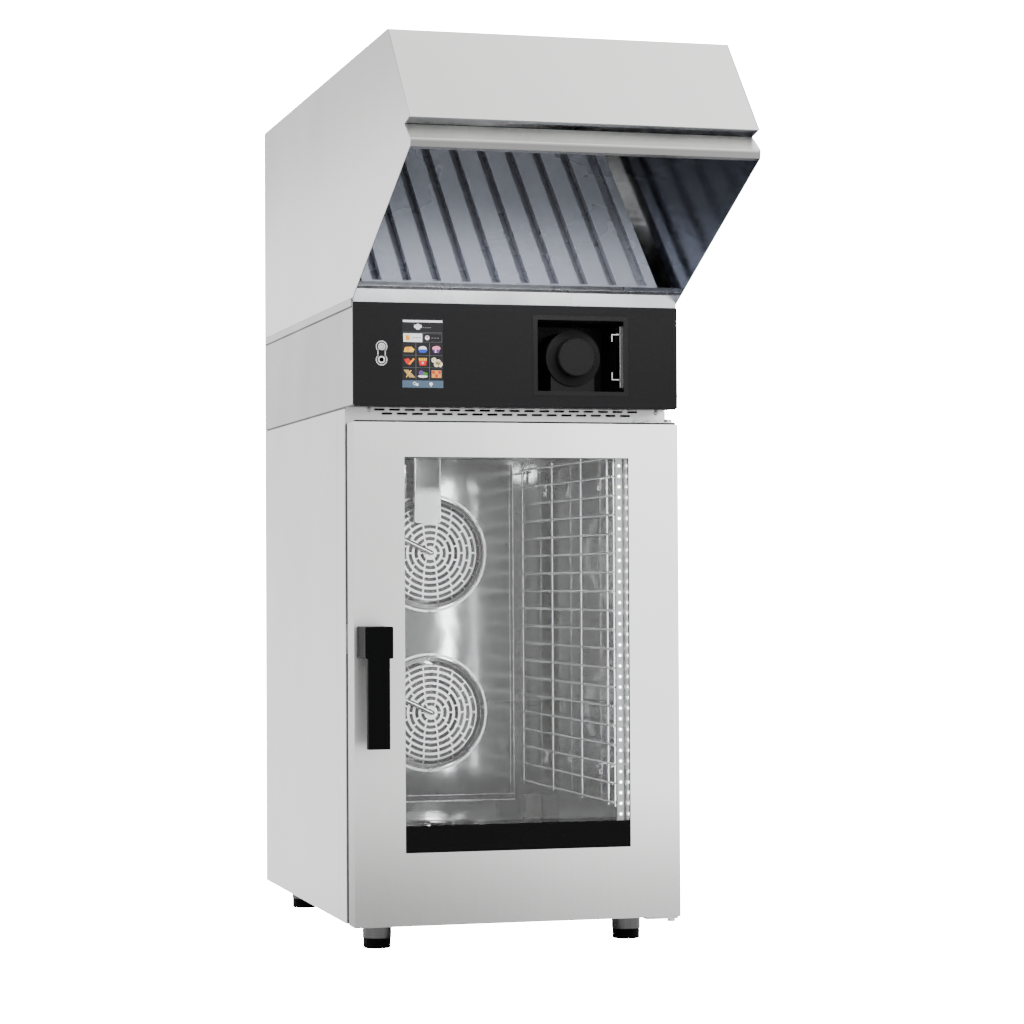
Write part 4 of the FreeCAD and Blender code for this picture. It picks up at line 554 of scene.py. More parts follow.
FINISHES: tuple[Finish, ...] = (
    # Painted shade: the casing's colour darkens towards its top.
    Steel("casing_steel", (0.85, 0.85, 0.845), dust=0.1, marks=0.03, painted_light_up=(0.3, 0.84, 1.0, 0.8),
          seams=(Seam(0.8358), Seam(-0.078, Axis.DEPTH, 0.0012, 0.3), Seam(-0.131, Axis.DEPTH, 0.001, 0.25))),
    Steel("compartment_steel", (0.435, 0.435, 0.432), dust=0.1, seams=(Seam(0.8362), Seam(0.987))),
    # Painted light: the door is darker to the left and towards its foot, lighter to the right and top.
    Steel("door_steel", (0.86, 0.86, 0.853), (0.3, 0.36), marks=0.02, painted_light_across=(0.72, 1.22),
          painted_light_up=(0.03, 0.3, 0.45, 1.0)),
    # Painted light: the hood's colour is a little lighter towards the right.
    Steel("hood_steel", (0.79, 0.795, 0.78), (0.3, 0.36), dust=0.15, marks=0.02, painted_light_across=(0.9, 1.06)),
    # Painted shade and highlight: a darker copy of the hood steel; its lower face is darker still, and above
    # the fold it is much lighter.
    Steel("lip_steel", (0.4, 0.4, 0.396), (0.3, 0.4), dust=0.1, painted_light_up=(1.181, 1.19, 0.5, 2.3)),
    Steel("flange_steel", (0.5, 0.5, 0.5), (0.3, 0.4), seams=(Seam(0.987),)),
    # Painted shade: the hood sides darken towards the top, and their inner faces get a darker colour, darker
    # still beside the filter.
    Steel("cheek_steel", (0.85, 0.85, 0.845), (0.3, 0.36), painted_light_up=(1.08, 1.36, 1.0, 0.53),
          inside_limit=0.2585),
    # Painted shade: cavity and baffle steel are dark shaded copies of the stainless, with painted highlights
    # on their edges.
    Steel("cavity_steel", (0.155, 0.155, 0.157), (0.05, 0.1), depth=0.08, wave_scale=14.0,
          wave_height=0.0003, edge_shine=1.8),
    Steel("baffle_steel", (0.13, 0.13, 0.132), (0.08, 0.12), Grain.ACROSS, depth=0.08, wave_scale=12.0,
          wave_height=0.0003, edge_shine=1.6),
    Steel("block_steel", (0.05, 0.05, 0.05), (0.4, 0.5), Grain.EVEN),
    # Painted shade and highlight: the duct is a dark copy of the stainless, much lighter at its foot and
    # darker above.
    Steel("duct_steel", (0.2, 0.2, 0.202), (0.12, 0.2), Grain.ACROSS, depth=0.05, wave_scale=20.0,
          wave_height=0.0003, painted_light_up=(0.715, 0.735, 3.2, 0.16)),
    # Painted reflection: the chrome sleeves' colour is darkened to show the dark surroundings they mirror.
    Steel("foot_steel", (0.085, 0.085, 0.085), (0.16, 0.24), depth=0.2),
    Steel("guard_steel", (0.9, 0.9, 0.9), (0.25, 0.34), Grain.EVEN, edge_shine=0.2),
    Steel("wire_steel", (0.92, 0.92, 0.93), (0.16, 0.24), Grain.EVEN, depth=0.02, edge_radius=0.0004),
    Steel("wheel_steel", (0.05, 0.05, 0.05), (0.3, 0.4), Grain.EVEN, depth=0.06),
    Steel("heater_steel", (0.12, 0.1, 0.09), (0.4, 0.5), Grain.EVEN, depth=0.12, marks=0.3),
    Steel("zinc_steel", (0.6, 0.6, 0.61), (0.25, 0.4), Grain.EVEN, depth=0.06, marks=0.1),
    Steel("polished_steel", (0.7, 0.7, 0.71), (0.08, 0.14), Grain.ACROSS, depth=0.03),
    Steel("vent_steel", (0.67, 0.67, 0.67), (0.3, 0.4), Grain.ACROSS),
    # Painted shade and highlight: the filter darkens towards the top, and its slat edges are lighter.
    Steel("filter_steel", (0.33, 0.35, 0.41), (0.24, 0.34), Grain.UPRIGHT, depth=0.08, metallic=0.4,
          painted_light_up=(1.06, 1.2, 1.0, 0.5), edge_shine=0.9, edge_radius=0.0014),
    Steel("strip_steel", (0.42, 0.427, 0.44), (0.2, 0.3), Grain.ACROSS, marks=0.05),
    Steel("brass_bush", (0.62, 0.46, 0.2), (0.25, 0.4), Grain.EVEN),
    Steel("brass_valve", (0.6, 0.45, 0.22), (0.3, 0.45), Grain.EVEN, marks=0.3),
    ClearGlass("clear_glass", (0.985, 0.992, 0.99)),
    Moulded("black_glass", (0.0106, 0.0106, 0.011), (0.1, 0.14), specular=0.03, scale=500.0, depth=0.03,
            grain_height=0.000002, edge_wear=0.2),
    Moulded("black_plastic", (0.0012, 0.0012, 0.0013), (0.42, 0.52), specular=0.035, dust=0.06,
            edge_wear=0.35, worn_colour=(0.03, 0.03, 0.03)),
    Moulded("bay_plastic", (0.003, 0.003, 0.003), (0.3, 0.42), specular=0.15, edge_wear=0.5,
            worn_colour=(0.02, 0.02, 0.02)),
    Moulded("cap_plastic", (0.0078, 0.0078, 0.0081), (0.45, 0.55), specular=0.07),
    Moulded("bar_ink", (0.0022, 0.0022, 0.0022), (0.2, 0.28), specular=0.04, scale=700.0, edge_wear=0.1),
    Moulded("grey_plastic", (0.2, 0.2, 0.205), (0.35, 0.5), dust=0.2, worn_colour=(0.4, 0.4, 0.4)),
    Moulded("black_rubber", (0.004, 0.004, 0.004), (0.6, 0.75), specular=0.2, scale=900.0, dust=0.1),
    Moulded("mineral_wool", (0.42, 0.34, 0.16), (0.9, 1.0), specular=0.1, scale=260.0, depth=0.4,
            grain_height=0.002, sheen=0.3),
    Moulded("dark_motor", (0.02, 0.02, 0.022), (0.35, 0.45), dust=0.25, worn_colour=(0.2, 0.2, 0.2)),
    Moulded("board_green", (0.01, 0.08, 0.03), (0.2, 0.35), coat=0.4, scale=300.0, depth=0.25),
    Display("lamp_white", (0.5, 0.51, 0.52), glow=0.15, gloss=0.35),
    Display("lens_white", (1.0, 1.0, 1.0), glow=14.0, gloss=0.1),
    Moulded("mark_white", (0.42, 0.42, 0.42), (0.4, 0.5), edge_wear=0.0),
    *(Display(ink.finish, ink.value[0], glow=ink.value[1]) for ink in Picture),
)


class Stock:
    """All materials by finish name, and how CAD nodes and new pieces get them."""

    def __init__(self) -> None:
        """Build the groups, then one material for each finish."""
        groups = GroupKit()
        self.materials = {finish.name: finish.build(groups) for finish in FINISHES}
        log.info("%d finishes", len(self.materials))

    def paint(self, finish: str, *nodes: str) -> None:
        """Give CAD nodes a finish."""
        for name in nodes:
            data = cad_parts[name].data
            data.materials.clear()
            data.materials.append(self.materials[finish])

    def piece(self, name: str, shapes: "Builder", finishes: tuple[str, ...], body: str, slot: str) -> None:
        """Add a new piece to the scene.

        Args:
            name: The piece's name.
            shapes: Its solids, in the shared frame.
            finishes: Finish names, in the order of the solids' material indices.
            body: The body that it rides on.
            slot: A material slot name; not used.
        """
        mesh = shapes.done(name)
        for finish in finishes:
            mesh.materials.append(self.materials[finish])
        made = bpy.data.objects.new(name, mesh)
        bpy.context.scene.collection.objects.link(made)
        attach(made, body)
        log.info("%s: %d faces on %s", name, len(mesh.polygons), body)


# ---------------------------------------------------------------- mesh helpers
class Builder:
    """Collects small solids into one mesh, each with its own finish index."""

    rounding: float = 0.28
    weld: float = 1e-7

    def __init__(self) -> None:
        """Start an empty mesh."""
        self.mesh = bmesh.new()

    def slab(self, outline: Outline, front: float, back: float, finish: int = 0) -> None:
        """Add a flat shape that faces -Y.

        Args:
            outline: (x, z) corners.
            front: Y of its front.
            back: Y of its back.
            finish: Material index.
        """
        near = [self.mesh.verts.new((x, front, z)) for x, z in outline]
        far = [self.mesh.verts.new((x, back, z)) for x, z in outline]
        count = len(outline)
        faces = [self.mesh.faces.new(near), self.mesh.faces.new(far[::-1])]
        for i in range(count):
            j = (i + 1) % count
            faces.append(self.mesh.faces.new((near[i], far[i], far[j], near[j])))
        for face in faces:
            face.material_index = finish

    def bar(self, low: tuple, high: tuple, finish: int = 0) -> None:
        """Add a strip or profile between two corners, with all its edges rounded."""
        (x0, y0, z0), (x1, y1, z1) = low, high
        before = set(self.mesh.edges)
        self.slab(rectangle(x0, x1, z0, z1), y0, y1, finish)
        edges = [edge for edge in self.mesh.edges if edge not in before]
        thinnest = min(x1 - x0, y1 - y0, z1 - z0)
        bmesh.ops.bevel(self.mesh, geom=edges, offset=thinnest * self.rounding, segments=2, affect="EDGES",
                        profile=0.5)

    def lathe(self, profile: Outline, place: Matrix, steps: int = 24, finish: int = 0,
              hexed: tuple[int, ...] = ()) -> None:
        """Add a turned shape about the local Z axis.

        Args:
            profile: (radius, height) pairs from the outside in; a radius of 0 closes it.
            place: Where the local origin and axes go.
            steps: Points round each ring.
            finish: Material index.
            hexed: Profile points whose ring is a hexagon.
        """
        rings = []
        for number, (radius, height) in enumerate(profile):
            if radius <= 0:
                rings.append([self.mesh.verts.new(place @ Vector((0, 0, height)))])
                continue
            ring = []
            for i in range(steps):
                turn = 2 * math.pi * i / steps
                reach = radius
                if number in hexed:
                    reach = radius / math.cos((turn % (math.pi / 3)) - math.pi / 6)
                ring.append(self.mesh.verts.new(place @ Vector((reach * math.cos(turn),
                                                                 reach * math.sin(turn), height))))
            rings.append(ring)
        for outer, inner in zip(rings, rings[1:]):
            for i in range(steps):
                j = (i + 1) % steps
                if len(inner) == 1:
                    face = self.mesh.faces.new((outer[i], outer[j], inner[0]))
                elif len(outer) == 1:
                    face = self.mesh.faces.new((outer[0], inner[j], inner[i]))
                else:
                    face = self.mesh.faces.new((outer[i], outer[j], inner[j], inner[i]))
                face.material_index = finish
                face.smooth = True

    def done(self, name: str) -> bpy.types.Mesh:
        """Weld the mesh, turn its normals outward and return it."""
        bmesh.ops.remove_doubles(self.mesh, verts=self.mesh.verts[:], dist=self.weld)
        bmesh.ops.recalc_face_normals(self.mesh, faces=self.mesh.faces[:])
        data = bpy.data.meshes.new(name)
        self.mesh.to_mesh(data)
        self.mesh.free()
        return data


def circle(x: float, z: float, radius: float, steps: int = 28, squash: float = 1.0) -> Outline:
    """Return the (x, z) outline of a disc or an ellipse."""
    return [(x + radius * math.cos(2 * math.pi * i / steps),
             z + radius * squash * math.sin(2 * math.pi * i / steps)) for i in range(steps)]


def arc_band(x: float, z: float, radius: float, width: float, start: float, end: float,
             steps: int = 28) -> Outline:
    """Return the outline of a curved band.

    Args:
        x: Centre.
        z: Centre.
        radius: Inner radius.
        width: Width of the band.
        start: First angle in degrees, anticlockwise from +X.
        end: Last angle.
        steps: Points along each side.

    Returns:
        (x, z) corners.
    """
    turns = [math.radians(start + (end - start) * i / steps) for i in range(steps + 1)]
    inner = [(x + radius * math.cos(t), z + radius * math.sin(t)) for t in turns]
    outer = [(x + (radius + width) * math.cos(t), z + (radius + width) * math.sin(t)) for t in turns]
    return outer + inner[::-1]


def rectangle(x0: float, x1: float, z0: float, z1: float) -> Outline:
    """Return the (x, z) corners of a rectangle."""
    return [(x0, z0), (x1, z0), (x1, z1), (x0, z1)]


def facing(place: Vector | tuple, axis: Vector | tuple) -> Matrix:
    """Return a matrix that puts local Z along axis at place."""
    turn = Vector(axis).to_track_quat("Z", "Y").to_matrix().to_4x4()
    return Matrix.Translation(Vector(place)) @ turn


@dataclass
class Screw:
    """Head of a pan-head screw with a hexagon socket."""

    radius: float = 4.2 * MM
    height: float = 2.2 * MM
    socket: float = 1.5 * MM
    inset: float = 9.0 * MM

    def add(self, builder: Builder, place: Vector | tuple, axis: Vector | tuple, finish: int = 0) -> None:
        """Set one screw head on a face.

        Args:
            builder: Where the shape goes.
            place: Point on the face.
            axis: Direction out of the face.
            finish: Material index; not used.
        """
        r, h, s = self.radius, self.height, self.socket
        profile = [(0.0, 0.0), (r, 0.0), (r, h * 0.35), (r * 0.93, h * 0.7), (r * 0.75, h * 0.93),
                   (r * 0.55, h), (s * 1.12, h), (s, h * 0.9), (s, h * 0.3), (0.0, h * 0.2)]
        builder.lathe(profile, facing(place, axis), hexed=(6, 7, 8))

    def columns(self, builder: Builder, node: str, rows: int) -> None:
        """Set screws down both rear edges of a sheet.

        Args:
            builder: Where the shapes go.
            node: The sheet.
            rows: Screws in each column.
        """
        low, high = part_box(node)
        for i in range(rows):
            z = low.z + 2 * self.inset + (high.z - low.z - 4 * self.inset) * i / (rows - 1)
            for x in (low.x + self.inset, high.x - self.inset):
                self.add(builder, (x, high.y, z), REAR)


@dataclass
class Assembly:
    """One sub-assembly: it gives its CAD nodes their finishes and adds its small pieces."""

    stock: Stock
    finishes: ClassVar[dict[str, tuple[str, ...]]] = {}

    def build(self) -> None:
        """Dress the CAD nodes, then add the small pieces."""
        for finish, nodes in self.finishes.items():
            self.stock.paint(finish, *nodes)
        self.add_pieces()

    def add_pieces(self) -> None:
        """Add the small pieces. Each sub-assembly has its own."""
        raise NotImplementedError


# ---------------------------------------------------------------- sub-assemblies
@dataclass
class Casing(Assembly):
    """Outer casing, feet, vent strip, door hinges and seals."""

    screw: Screw = field(default_factory=Screw)
    vent_screw_left: float = 36.7 * MM
    vent_screw_right: float = 13.3 * MM
    vent_screw_drop: float = 3.6 * MM
    rear_screw_pitch: float = 150.0 * MM
    finishes: ClassVar[dict[str, tuple[str, ...]]] = {
        "casing_steel": ("base_pan", "side_panel_left", "side_panel_right", "rear_panel", "front_frame"),
        "compartment_steel": ("upper_casing",),
        "vent_steel": ("vent_strip",),
        "foot_steel": ("foot_sleeves",),
        "black_plastic": ("foot_pads",),
        "zinc_steel": ("hinge_brackets", "hinge_pins"),
        "black_rubber": ("door_seals",),
    }

    def add_pieces(self) -> None:
        """Add the screws of the casing."""
        self._front_screws()
        self._rear_screws()

    def _front_screws(self) -> None:
        """Screws of the vent strip and of the upper hinge bracket."""
        low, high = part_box("vent_strip")
        builder = Builder()
        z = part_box("control_glass")[0].z - self.vent_screw_drop
        small = Screw(3.6 * MM, 2.4 * MM, 1.3 * MM)
        for x in (low.x + self.vent_screw_left, high.x - self.vent_screw_right):
            small.add(builder, (x, low.y, z), FRONT)
        bracket_low, bracket_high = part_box("hinge_brackets")
        for back in (0.35, 0.7):
            y = bracket_low.y + (bracket_high.y - bracket_low.y) * back
            small.add(builder, (bracket_low.x + 12.0 * MM, y, bracket_high.z - 6.0 * MM), UP)
        self.stock.piece("front_screws", builder, ("zinc_steel",), "oven", "zinc_steel")

    def _rear_screws(self) -> None:
        """Screws round the lower rear sheet and the control compartment."""
        builder = Builder()
        for node in ("rear_panel", "upper_casing"):
            low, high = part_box(node)
            self.screw.columns(builder, node, max(2, int((high.z - low.z) / self.rear_screw_pitch) + 1))
        self.stock.piece("rear_screws", builder, ("zinc_steel",), "oven", "zinc_steel")


@dataclass
class Door(Assembly):
    """Door with its double glass, printed bar, light strip and handle."""

    bar_height: float = 41.0 * MM
    print_depth: float = 0.12 * MM
    border: float = 1.4 * MM
    lens_pitch: float = 16.5 * MM
    lens_radius: float = 2.1 * MM
    # Height of the dark strip on the door's top edge, a painted shadow.
    top_shadow_height: float = 2.6 * MM
    finishes: ClassVar[dict[str, tuple[str, ...]]] = {
        "door_steel": ("door_skin", "door_back_frame"),
        "guard_steel": ("door_spacer",),
        "clear_glass": ("door_outer_glass", "door_inner_glass"),
        "lamp_white": ("door_light_strip",),
        "brass_bush": ("door_bushes",),
        "black_plastic": ("handle_grip",),
        "zinc_steel": ("latch_spindle",),
    }

    def add_pieces(self) -> None:
        """Add what lies on the door's glass and on its top edge."""
        self._bar()
        self._lenses()
        self._top_shadow_strip()

    def _top_shadow_strip(self) -> None:
        """Dark strip along the door's top edge, a painted shadow of the gap above the door."""
        low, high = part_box("door_skin")
        builder = Builder()
        inset = 3.0 * MM
        builder.bar((low.x + inset, low.y + 1.0 * MM, high.z + HAIR),
                    (high.x - inset, low.y + 12.0 * MM, high.z + self.top_shadow_height))
        self.stock.piece("door_top_shadow_strip", builder, ("black_rubber",), "door", "black_rubber")

    def window(self) -> tuple[float, float, float, float]:
        """Return (x0, x1, z0, z1) of the opening in the door's skin."""
        low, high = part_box("door_outer_glass")
        cover = 12.0 * MM
        return low.x + cover, high.x - cover, low.z + cover, high.z - cover

    def _bar(self) -> None:
        """Dark printed bar across the foot of the window and the thin border round it."""
        x0, x1, z0, z1 = self.window()
        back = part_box("door_outer_glass")[0].y - SKIN
        front = back - self.print_depth
        builder = Builder()
        builder.slab(rectangle(x0, x1, z0, z0 + self.bar_height), front, back)
        builder.slab(rectangle(x1 - self.border, x1, z0 + self.bar_height, z1), front, back)
        builder.slab(rectangle(x0, x1 - self.border, z1 - self.border * 0.6, z1), front, back)
        self.stock.piece("window_print", builder, ("bar_ink",), "door", "black_glass")

    def _lenses(self) -> None:
        """Row of small lamp lenses along the light strip."""
        low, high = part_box("door_light_strip")
        x = (low.x + high.x) / 2
        count = int((high.z - low.z - self.bar_height) / self.lens_pitch)
        builder = Builder()
        r = self.lens_radius
        for i in range(count):
            z = low.z + self.bar_height + (i + 0.5) * self.lens_pitch
            builder.lathe([(0.0, 0.0), (r, 0.0), (r * 0.85, r * 0.3), (r * 0.5, r * 0.5), (0.0, r * 0.58)],
                          facing((x, low.y, z), FRONT), steps=16)
        self.stock.piece("light_lenses", builder, ("lens_white",), "door", "lamp_white")


@dataclass
class Cavity(Assembly):
    """Cooking cavity with its fans, guards, tubes and racks."""

    bead: float = 1.2 * MM
    block_x: tuple[float, float] = (163.0 * MM, 191.0 * MM)
    block_y: tuple[float, float] = (360.5 * MM, 388.5 * MM)
    block_z: tuple[float, float] = (156.0 * MM, 195.0 * MM)
    cover_sheet: float = 0.3 * MM
    finishes: ClassVar[dict[str, tuple[str, ...]]] = {
        "cavity_steel": ("cavity_liner", "drain_basket", "steam_chimney"),
        "baffle_steel": ("fan_baffle",),
        "duct_steel": ("ceiling_duct",),
        "guard_steel": ("fan_guards",),
        "wire_steel": ("rack_left", "rack_right", "inject_tubes"),
        "wheel_steel": ("fan_wheel_upper", "fan_wheel_lower"),
        "dark_motor": ("fan_motors",),
        "heater_steel": ("heating_elements",),
        "mineral_wool": ("insulation_jacket",),
    }

    def add_pieces(self) -> None:
        """Add the folded edges, the guards' screws and the block covers."""
        self._duct_beads()
        self._guard_screws()
        self._edges()
        self._block_covers()

    def _edges(self) -> None:
        """Folded edges along the baffle's right side and foot, in bright steel: a painted highlight on the
        folds.
        """
        low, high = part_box("fan_baffle")
        bead = self.bead
        builder = Builder()
        front = low.y - bead * 0.4
        back = low.y - SKIN
        builder.bar((high.x - bead, front, low.z), (high.x, back, high.z))
        builder.bar((high.x - bead * 6, front, low.z), (high.x - bead * 5.4, back, high.z))
        builder.bar((low.x, front, low.z), (high.x, back, low.z + bead * 1.6))
        builder.bar((low.x, front, low.z + bead * 9), (high.x, back, low.z + bead * 9.7))
        self.stock.piece("baffle_edges", builder, ("wire_steel",), "oven", "cavity_steel")

    def _block_covers(self) -> None:
        """Thin covers on the two blocks that carry the racks at the rear."""
        builder = Builder()
        (x0, x1), (y0, y1), (z0, z1) = self.block_x, self.block_y, self.block_z
        sheet = self.cover_sheet
        for side in (-1, 1):
            near, far = sorted((side * x0, side * x1))
            builder.bar((near, y0 - sheet, z0), (far, y0 - SKIN, z1))
            inner = side * x0
            left, right = sorted((inner - side * sheet, inner - side * SKIN))
            builder.bar((left, y0, z0), (right, y1, z1))
        self.stock.piece("block_covers", builder, ("block_steel",), "oven", "cavity_steel")

    def _duct_beads(self) -> None:
        """Folded edges down both sides and along the foot of the ceiling duct, in bright steel: a painted
        highlight on the folds.
        """
        low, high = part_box("ceiling_duct")
        builder = Builder()
        front = low.y - self.bead * 0.6
        for x in (low.x, high.x - self.bead * 1.6):
            builder.bar((x, front, low.z), (x + self.bead * 1.6, low.y - SKIN, high.z - 1.0 * MM))
        builder.bar((low.x, front, low.z), (high.x, low.y - SKIN, low.z + self.bead * 1.6))
        self.stock.piece("duct_beads", builder, ("wire_steel",), "oven", "cavity_steel")

    def _guard_screws(self) -> None:
        """Three screws on the rim of each fan guard."""
        low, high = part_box("fan_guards")
        radius = (high.x - low.x) / 2
        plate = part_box("fan_baffle")[0].y + 4.0 * MM
        builder = Builder()
        screw = Screw(3.2 * MM, 1.8 * MM, 1.2 * MM)
        for z in (low.z + radius, high.z - radius):
            for turn in (30.0, 150.0, 270.0):
                reach = radius - 2.6 * MM
                x = reach * math.cos(math.radians(turn))
                height = z + reach * math.sin(math.radians(turn))
                screw.add(builder, (x, plate, height), FRONT)
        self.stock.piece("guard_screws", builder, ("guard_steel",), "oven", "cavity_steel")


@dataclass
class ScreenPicture:
    """The lit start page of the display: bars, tiles and plain food symbols."""

    x0: float
    z0: float
    width: float
    height: float
    front: float
    builder: Builder = field(default_factory=Builder)

    def draw(self) -> Builder:
        """Draw every part of the page and return the shapes."""
        self._area(0.0, 1.0, 0.0, 1.0, Picture.DARK, 0)
        self._area(0.02, 0.98, 0.955, 0.985, Picture.WHITE, 1)
        self._area(0.0, 1.0, 0.0, 0.105, Picture.SLATE, 1)
        self._head()
        self._tiles()
        self._foods()
        self._foot()
        return self.builder

    def _at(self, u: float, v: float) -> tuple[float, float]:
        """Return the (x, z) of a place given as shares of the page."""
        return self.x0 + u * self.width, self.z0 + v * self.height

    def _put(self, outline: Outline, ink: Picture, level: int) -> None:
        """Add a shape given in shares of the page, level layers above its ground."""
        step = 0.03 * MM
        front = self.front - step * (level + 1)
        self.builder.slab([self._at(u, v) for u, v in outline], front, front + step * 0.8, ink.index)

    def _area(self, u0: float, u1: float, v0: float, v1: float, ink: Picture, level: int) -> None:
        """Add a rectangle."""
        self._put(rectangle(u0, u1, v0, v1), ink, level)

    def _dot(self, u: float, v: float, radius: float, ink: Picture, level: int, squash: float = 1.0) -> None:
        """Add a disc; its radius is a share of the page's width."""
        self._put(circle(u, v, radius, 20, squash * self.width / self.height), ink, level)

    def _stroke(self, start: tuple, end: tuple, width: float, ink: Picture, level: int) -> None:
        """Add a straight stroke between two places."""
        (u0, v0), (u1, v1) = start, end
        along = Vector((u1 - u0, (v1 - v0) * self.height / self.width)).normalized()
        du, dv = -along.y * width / 2, along.x * width / 2 * self.width / self.height
        self._put([(u0 + du, v0 + dv), (u0 - du, v0 - dv), (u1 - du, v1 - dv), (u1 + du, v1 + dv)],
                  ink, level)

    def _head(self) -> None:
        """Cook's hat and the row beside it."""
        for u, v, r in ((0.33, 0.895, 0.042), (0.385, 0.905, 0.046), (0.44, 0.895, 0.042)):
            self._dot(u, v, r, Picture.WHITE, 1)
        self._area(0.34, 0.43, 0.85, 0.895, Picture.WHITE, 2)
        for i in range(4):
            self._area(0.5 + i * 0.055, 0.54 + i * 0.055, 0.872, 0.884, Picture.LINE, 1)
        self._area(0.02, 0.98, 0.805, 0.809, Picture.LINE, 1)

    def _tiles(self) -> None:
        """Light tile and dark tile under the head."""
        self._area(0.03, 0.49, 0.665, 0.79, Picture.WHITE, 1)
        self._put([(0.09, 0.69), (0.18, 0.69), (0.2, 0.76), (0.08, 0.765)], Picture.ORANGE, 2)
        self._dot(0.17, 0.75, 0.028, Picture.YELLOW, 3)
        for i in range(3):
            self._area(0.26 + i * 0.07, 0.31 + i * 0.07, 0.722, 0.734, Picture.SLATE, 2)
        self._area(0.51, 0.97, 0.665, 0.79, Picture.LINE, 1)
        self._area(0.515, 0.965, 0.668, 0.787, Picture.DARK, 2)
        self._dot(0.61, 0.73, 0.055, Picture.WHITE, 3)
        self._dot(0.61, 0.742, 0.022, Picture.RED, 4)
        for i in range(3):
            self._area(0.71 + i * 0.07, 0.76 + i * 0.07, 0.722, 0.732, Picture.LINE, 3)

    def _foods(self) -> None:
        """Nine food symbols in three rows, between thin lines."""
        for i in (1, 2):
            self._area(i / 3 - 0.004, i / 3 + 0.004, 0.115, 0.65, Picture.LINE, 1)
            self._area(0.02, 0.98, 0.115 + i * 0.178 - 0.0015, 0.115 + i * 0.178 + 0.0015, Picture.LINE, 1)
        cells = [[(column / 3 + 1 / 6, 0.56 - row * 0.178) for column in range(3)] for row in range(3)]
        self._roast(*cells[0][0])
        self._bowl(*cells[0][1])
        self._cake(*cells[0][2])
        self._pepper(*cells[1][0])
        self._fries(*cells[1][1])
        self._rolls(*cells[1][2])
        self._noodles(*cells[2][0])
        self._greens(*cells[2][1])
        self._tray(*cells[2][2])

    def _roast(self, u: float, v: float) -> None:
        """A roast on a plate."""
        self._put([(u - 0.13, v - 0.04), (u + 0.1, v - 0.04), (u + 0.13, v + 0.0), (u + 0.06, v + 0.035),
                   (u - 0.1, v + 0.025)], Picture.YELLOW, 2)
        self._dot(u - 0.03, v + 0.005, 0.05, Picture.ORANGE, 3)
        self._area(u - 0.12, u + 0.1, v - 0.045, v - 0.035, Picture.TAN, 3)

    def _bowl(self, u: float, v: float) -> None:
        """A bowl with something white in it."""
        self._dot(u, v + 0.005, 0.1, Picture.WHITE, 2, 0.7)
        self._put([(u - 0.12, v), (u + 0.12, v), (u + 0.07, v - 0.05), (u - 0.07, v - 0.05)], Picture.BLUE, 3)

    def _cake(self, u: float, v: float) -> None:
        """A small cake in its cup."""
        self._dot(u, v + 0.015, 0.1, Picture.PINK, 2, 0.62)
        self._put([(u - 0.09, v), (u + 0.09, v), (u + 0.06, v - 0.05), (u - 0.06, v - 0.05)],
                  Picture.PURPLE, 3)
        self._stroke((u - 0.02, v - 0.002), (u - 0.015, v - 0.048), 0.03, Picture.CREAM, 4)

    def _pepper(self, u: float, v: float) -> None:
        """A red pepper with a slice beside it."""
        self._put([(u - 0.12, v + 0.03), (u - 0.02, v + 0.045), (u + 0.06, v + 0.0), (u - 0.02, v - 0.05),
                   (u - 0.08, v - 0.02)], Picture.RED, 2)
        self._stroke((u + 0.0, v - 0.045), (u + 0.12, v + 0.04), 0.045, Picture.ORANGE, 3)

    def _fries(self, u: float, v: float) -> None:
        """A cup of fries."""
        for i in range(5):
            self._stroke((u - 0.07 + i * 0.035, v), (u - 0.085 + i * 0.043, v + 0.052), 0.026,
                         Picture.YELLOW, 2)
        self._put([(u - 0.1, v + 0.012), (u + 0.1, v + 0.012), (u + 0.075, v - 0.058),
                   (u - 0.075, v - 0.058)], Picture.RED, 3)
        self._dot(u, v - 0.02, 0.03, Picture.PINK, 4)

    def _rolls(self, u: float, v: float) -> None:
        """Four round rolls."""
        for du, dv in ((-0.06, 0.022), (0.045, -0.004), (0.0, -0.04), (0.09, -0.04)):
            self._dot(u + du, v + dv, 0.062, Picture.CREAM, 2)
            self._dot(u + du - 0.01, v + dv + 0.006, 0.022, Picture.TAN, 3)

    def _noodles(self, u: float, v: float) -> None:
        """A bundle of long sticks."""
        for i in range(6):
            self._stroke((u - 0.13 + i * 0.02, v + 0.055), (u + 0.02 + i * 0.025, v - 0.058), 0.016,
                         Picture.TAN, 2 + i % 2)
        self._stroke((u - 0.07, v - 0.055), (u + 0.05, v + 0.05), 0.02, Picture.YELLOW, 4)

    def _greens(self, u: float, v: float) -> None:
        """Vegetables on a plate."""
        self._dot(u, v - 0.038, 0.12, Picture.WHITE, 2, 0.28)
        self._dot(u - 0.04, v + 0.012, 0.06, Picture.PURPLE, 3)
        self._put([(u - 0.02, v - 0.02), (u + 0.11, v - 0.03), (u + 0.12, v + 0.01), (u + 0.02, v + 0.03)],
                  Picture.GREEN, 4)

    def _tray(self, u: float, v: float) -> None:
        """A tray bake cut in squares."""
        self._area(u - 0.12, u + 0.12, v - 0.058, v + 0.052, Picture.TAN, 2)
        for i in range(3):
            for j in range(2):
                self._area(u - 0.105 + i * 0.075, u - 0.045 + i * 0.075, v - 0.05 + j * 0.052,
                           v - 0.006 + j * 0.05, Picture.RED if (i + j) % 2 else Picture.ORANGE, 3)

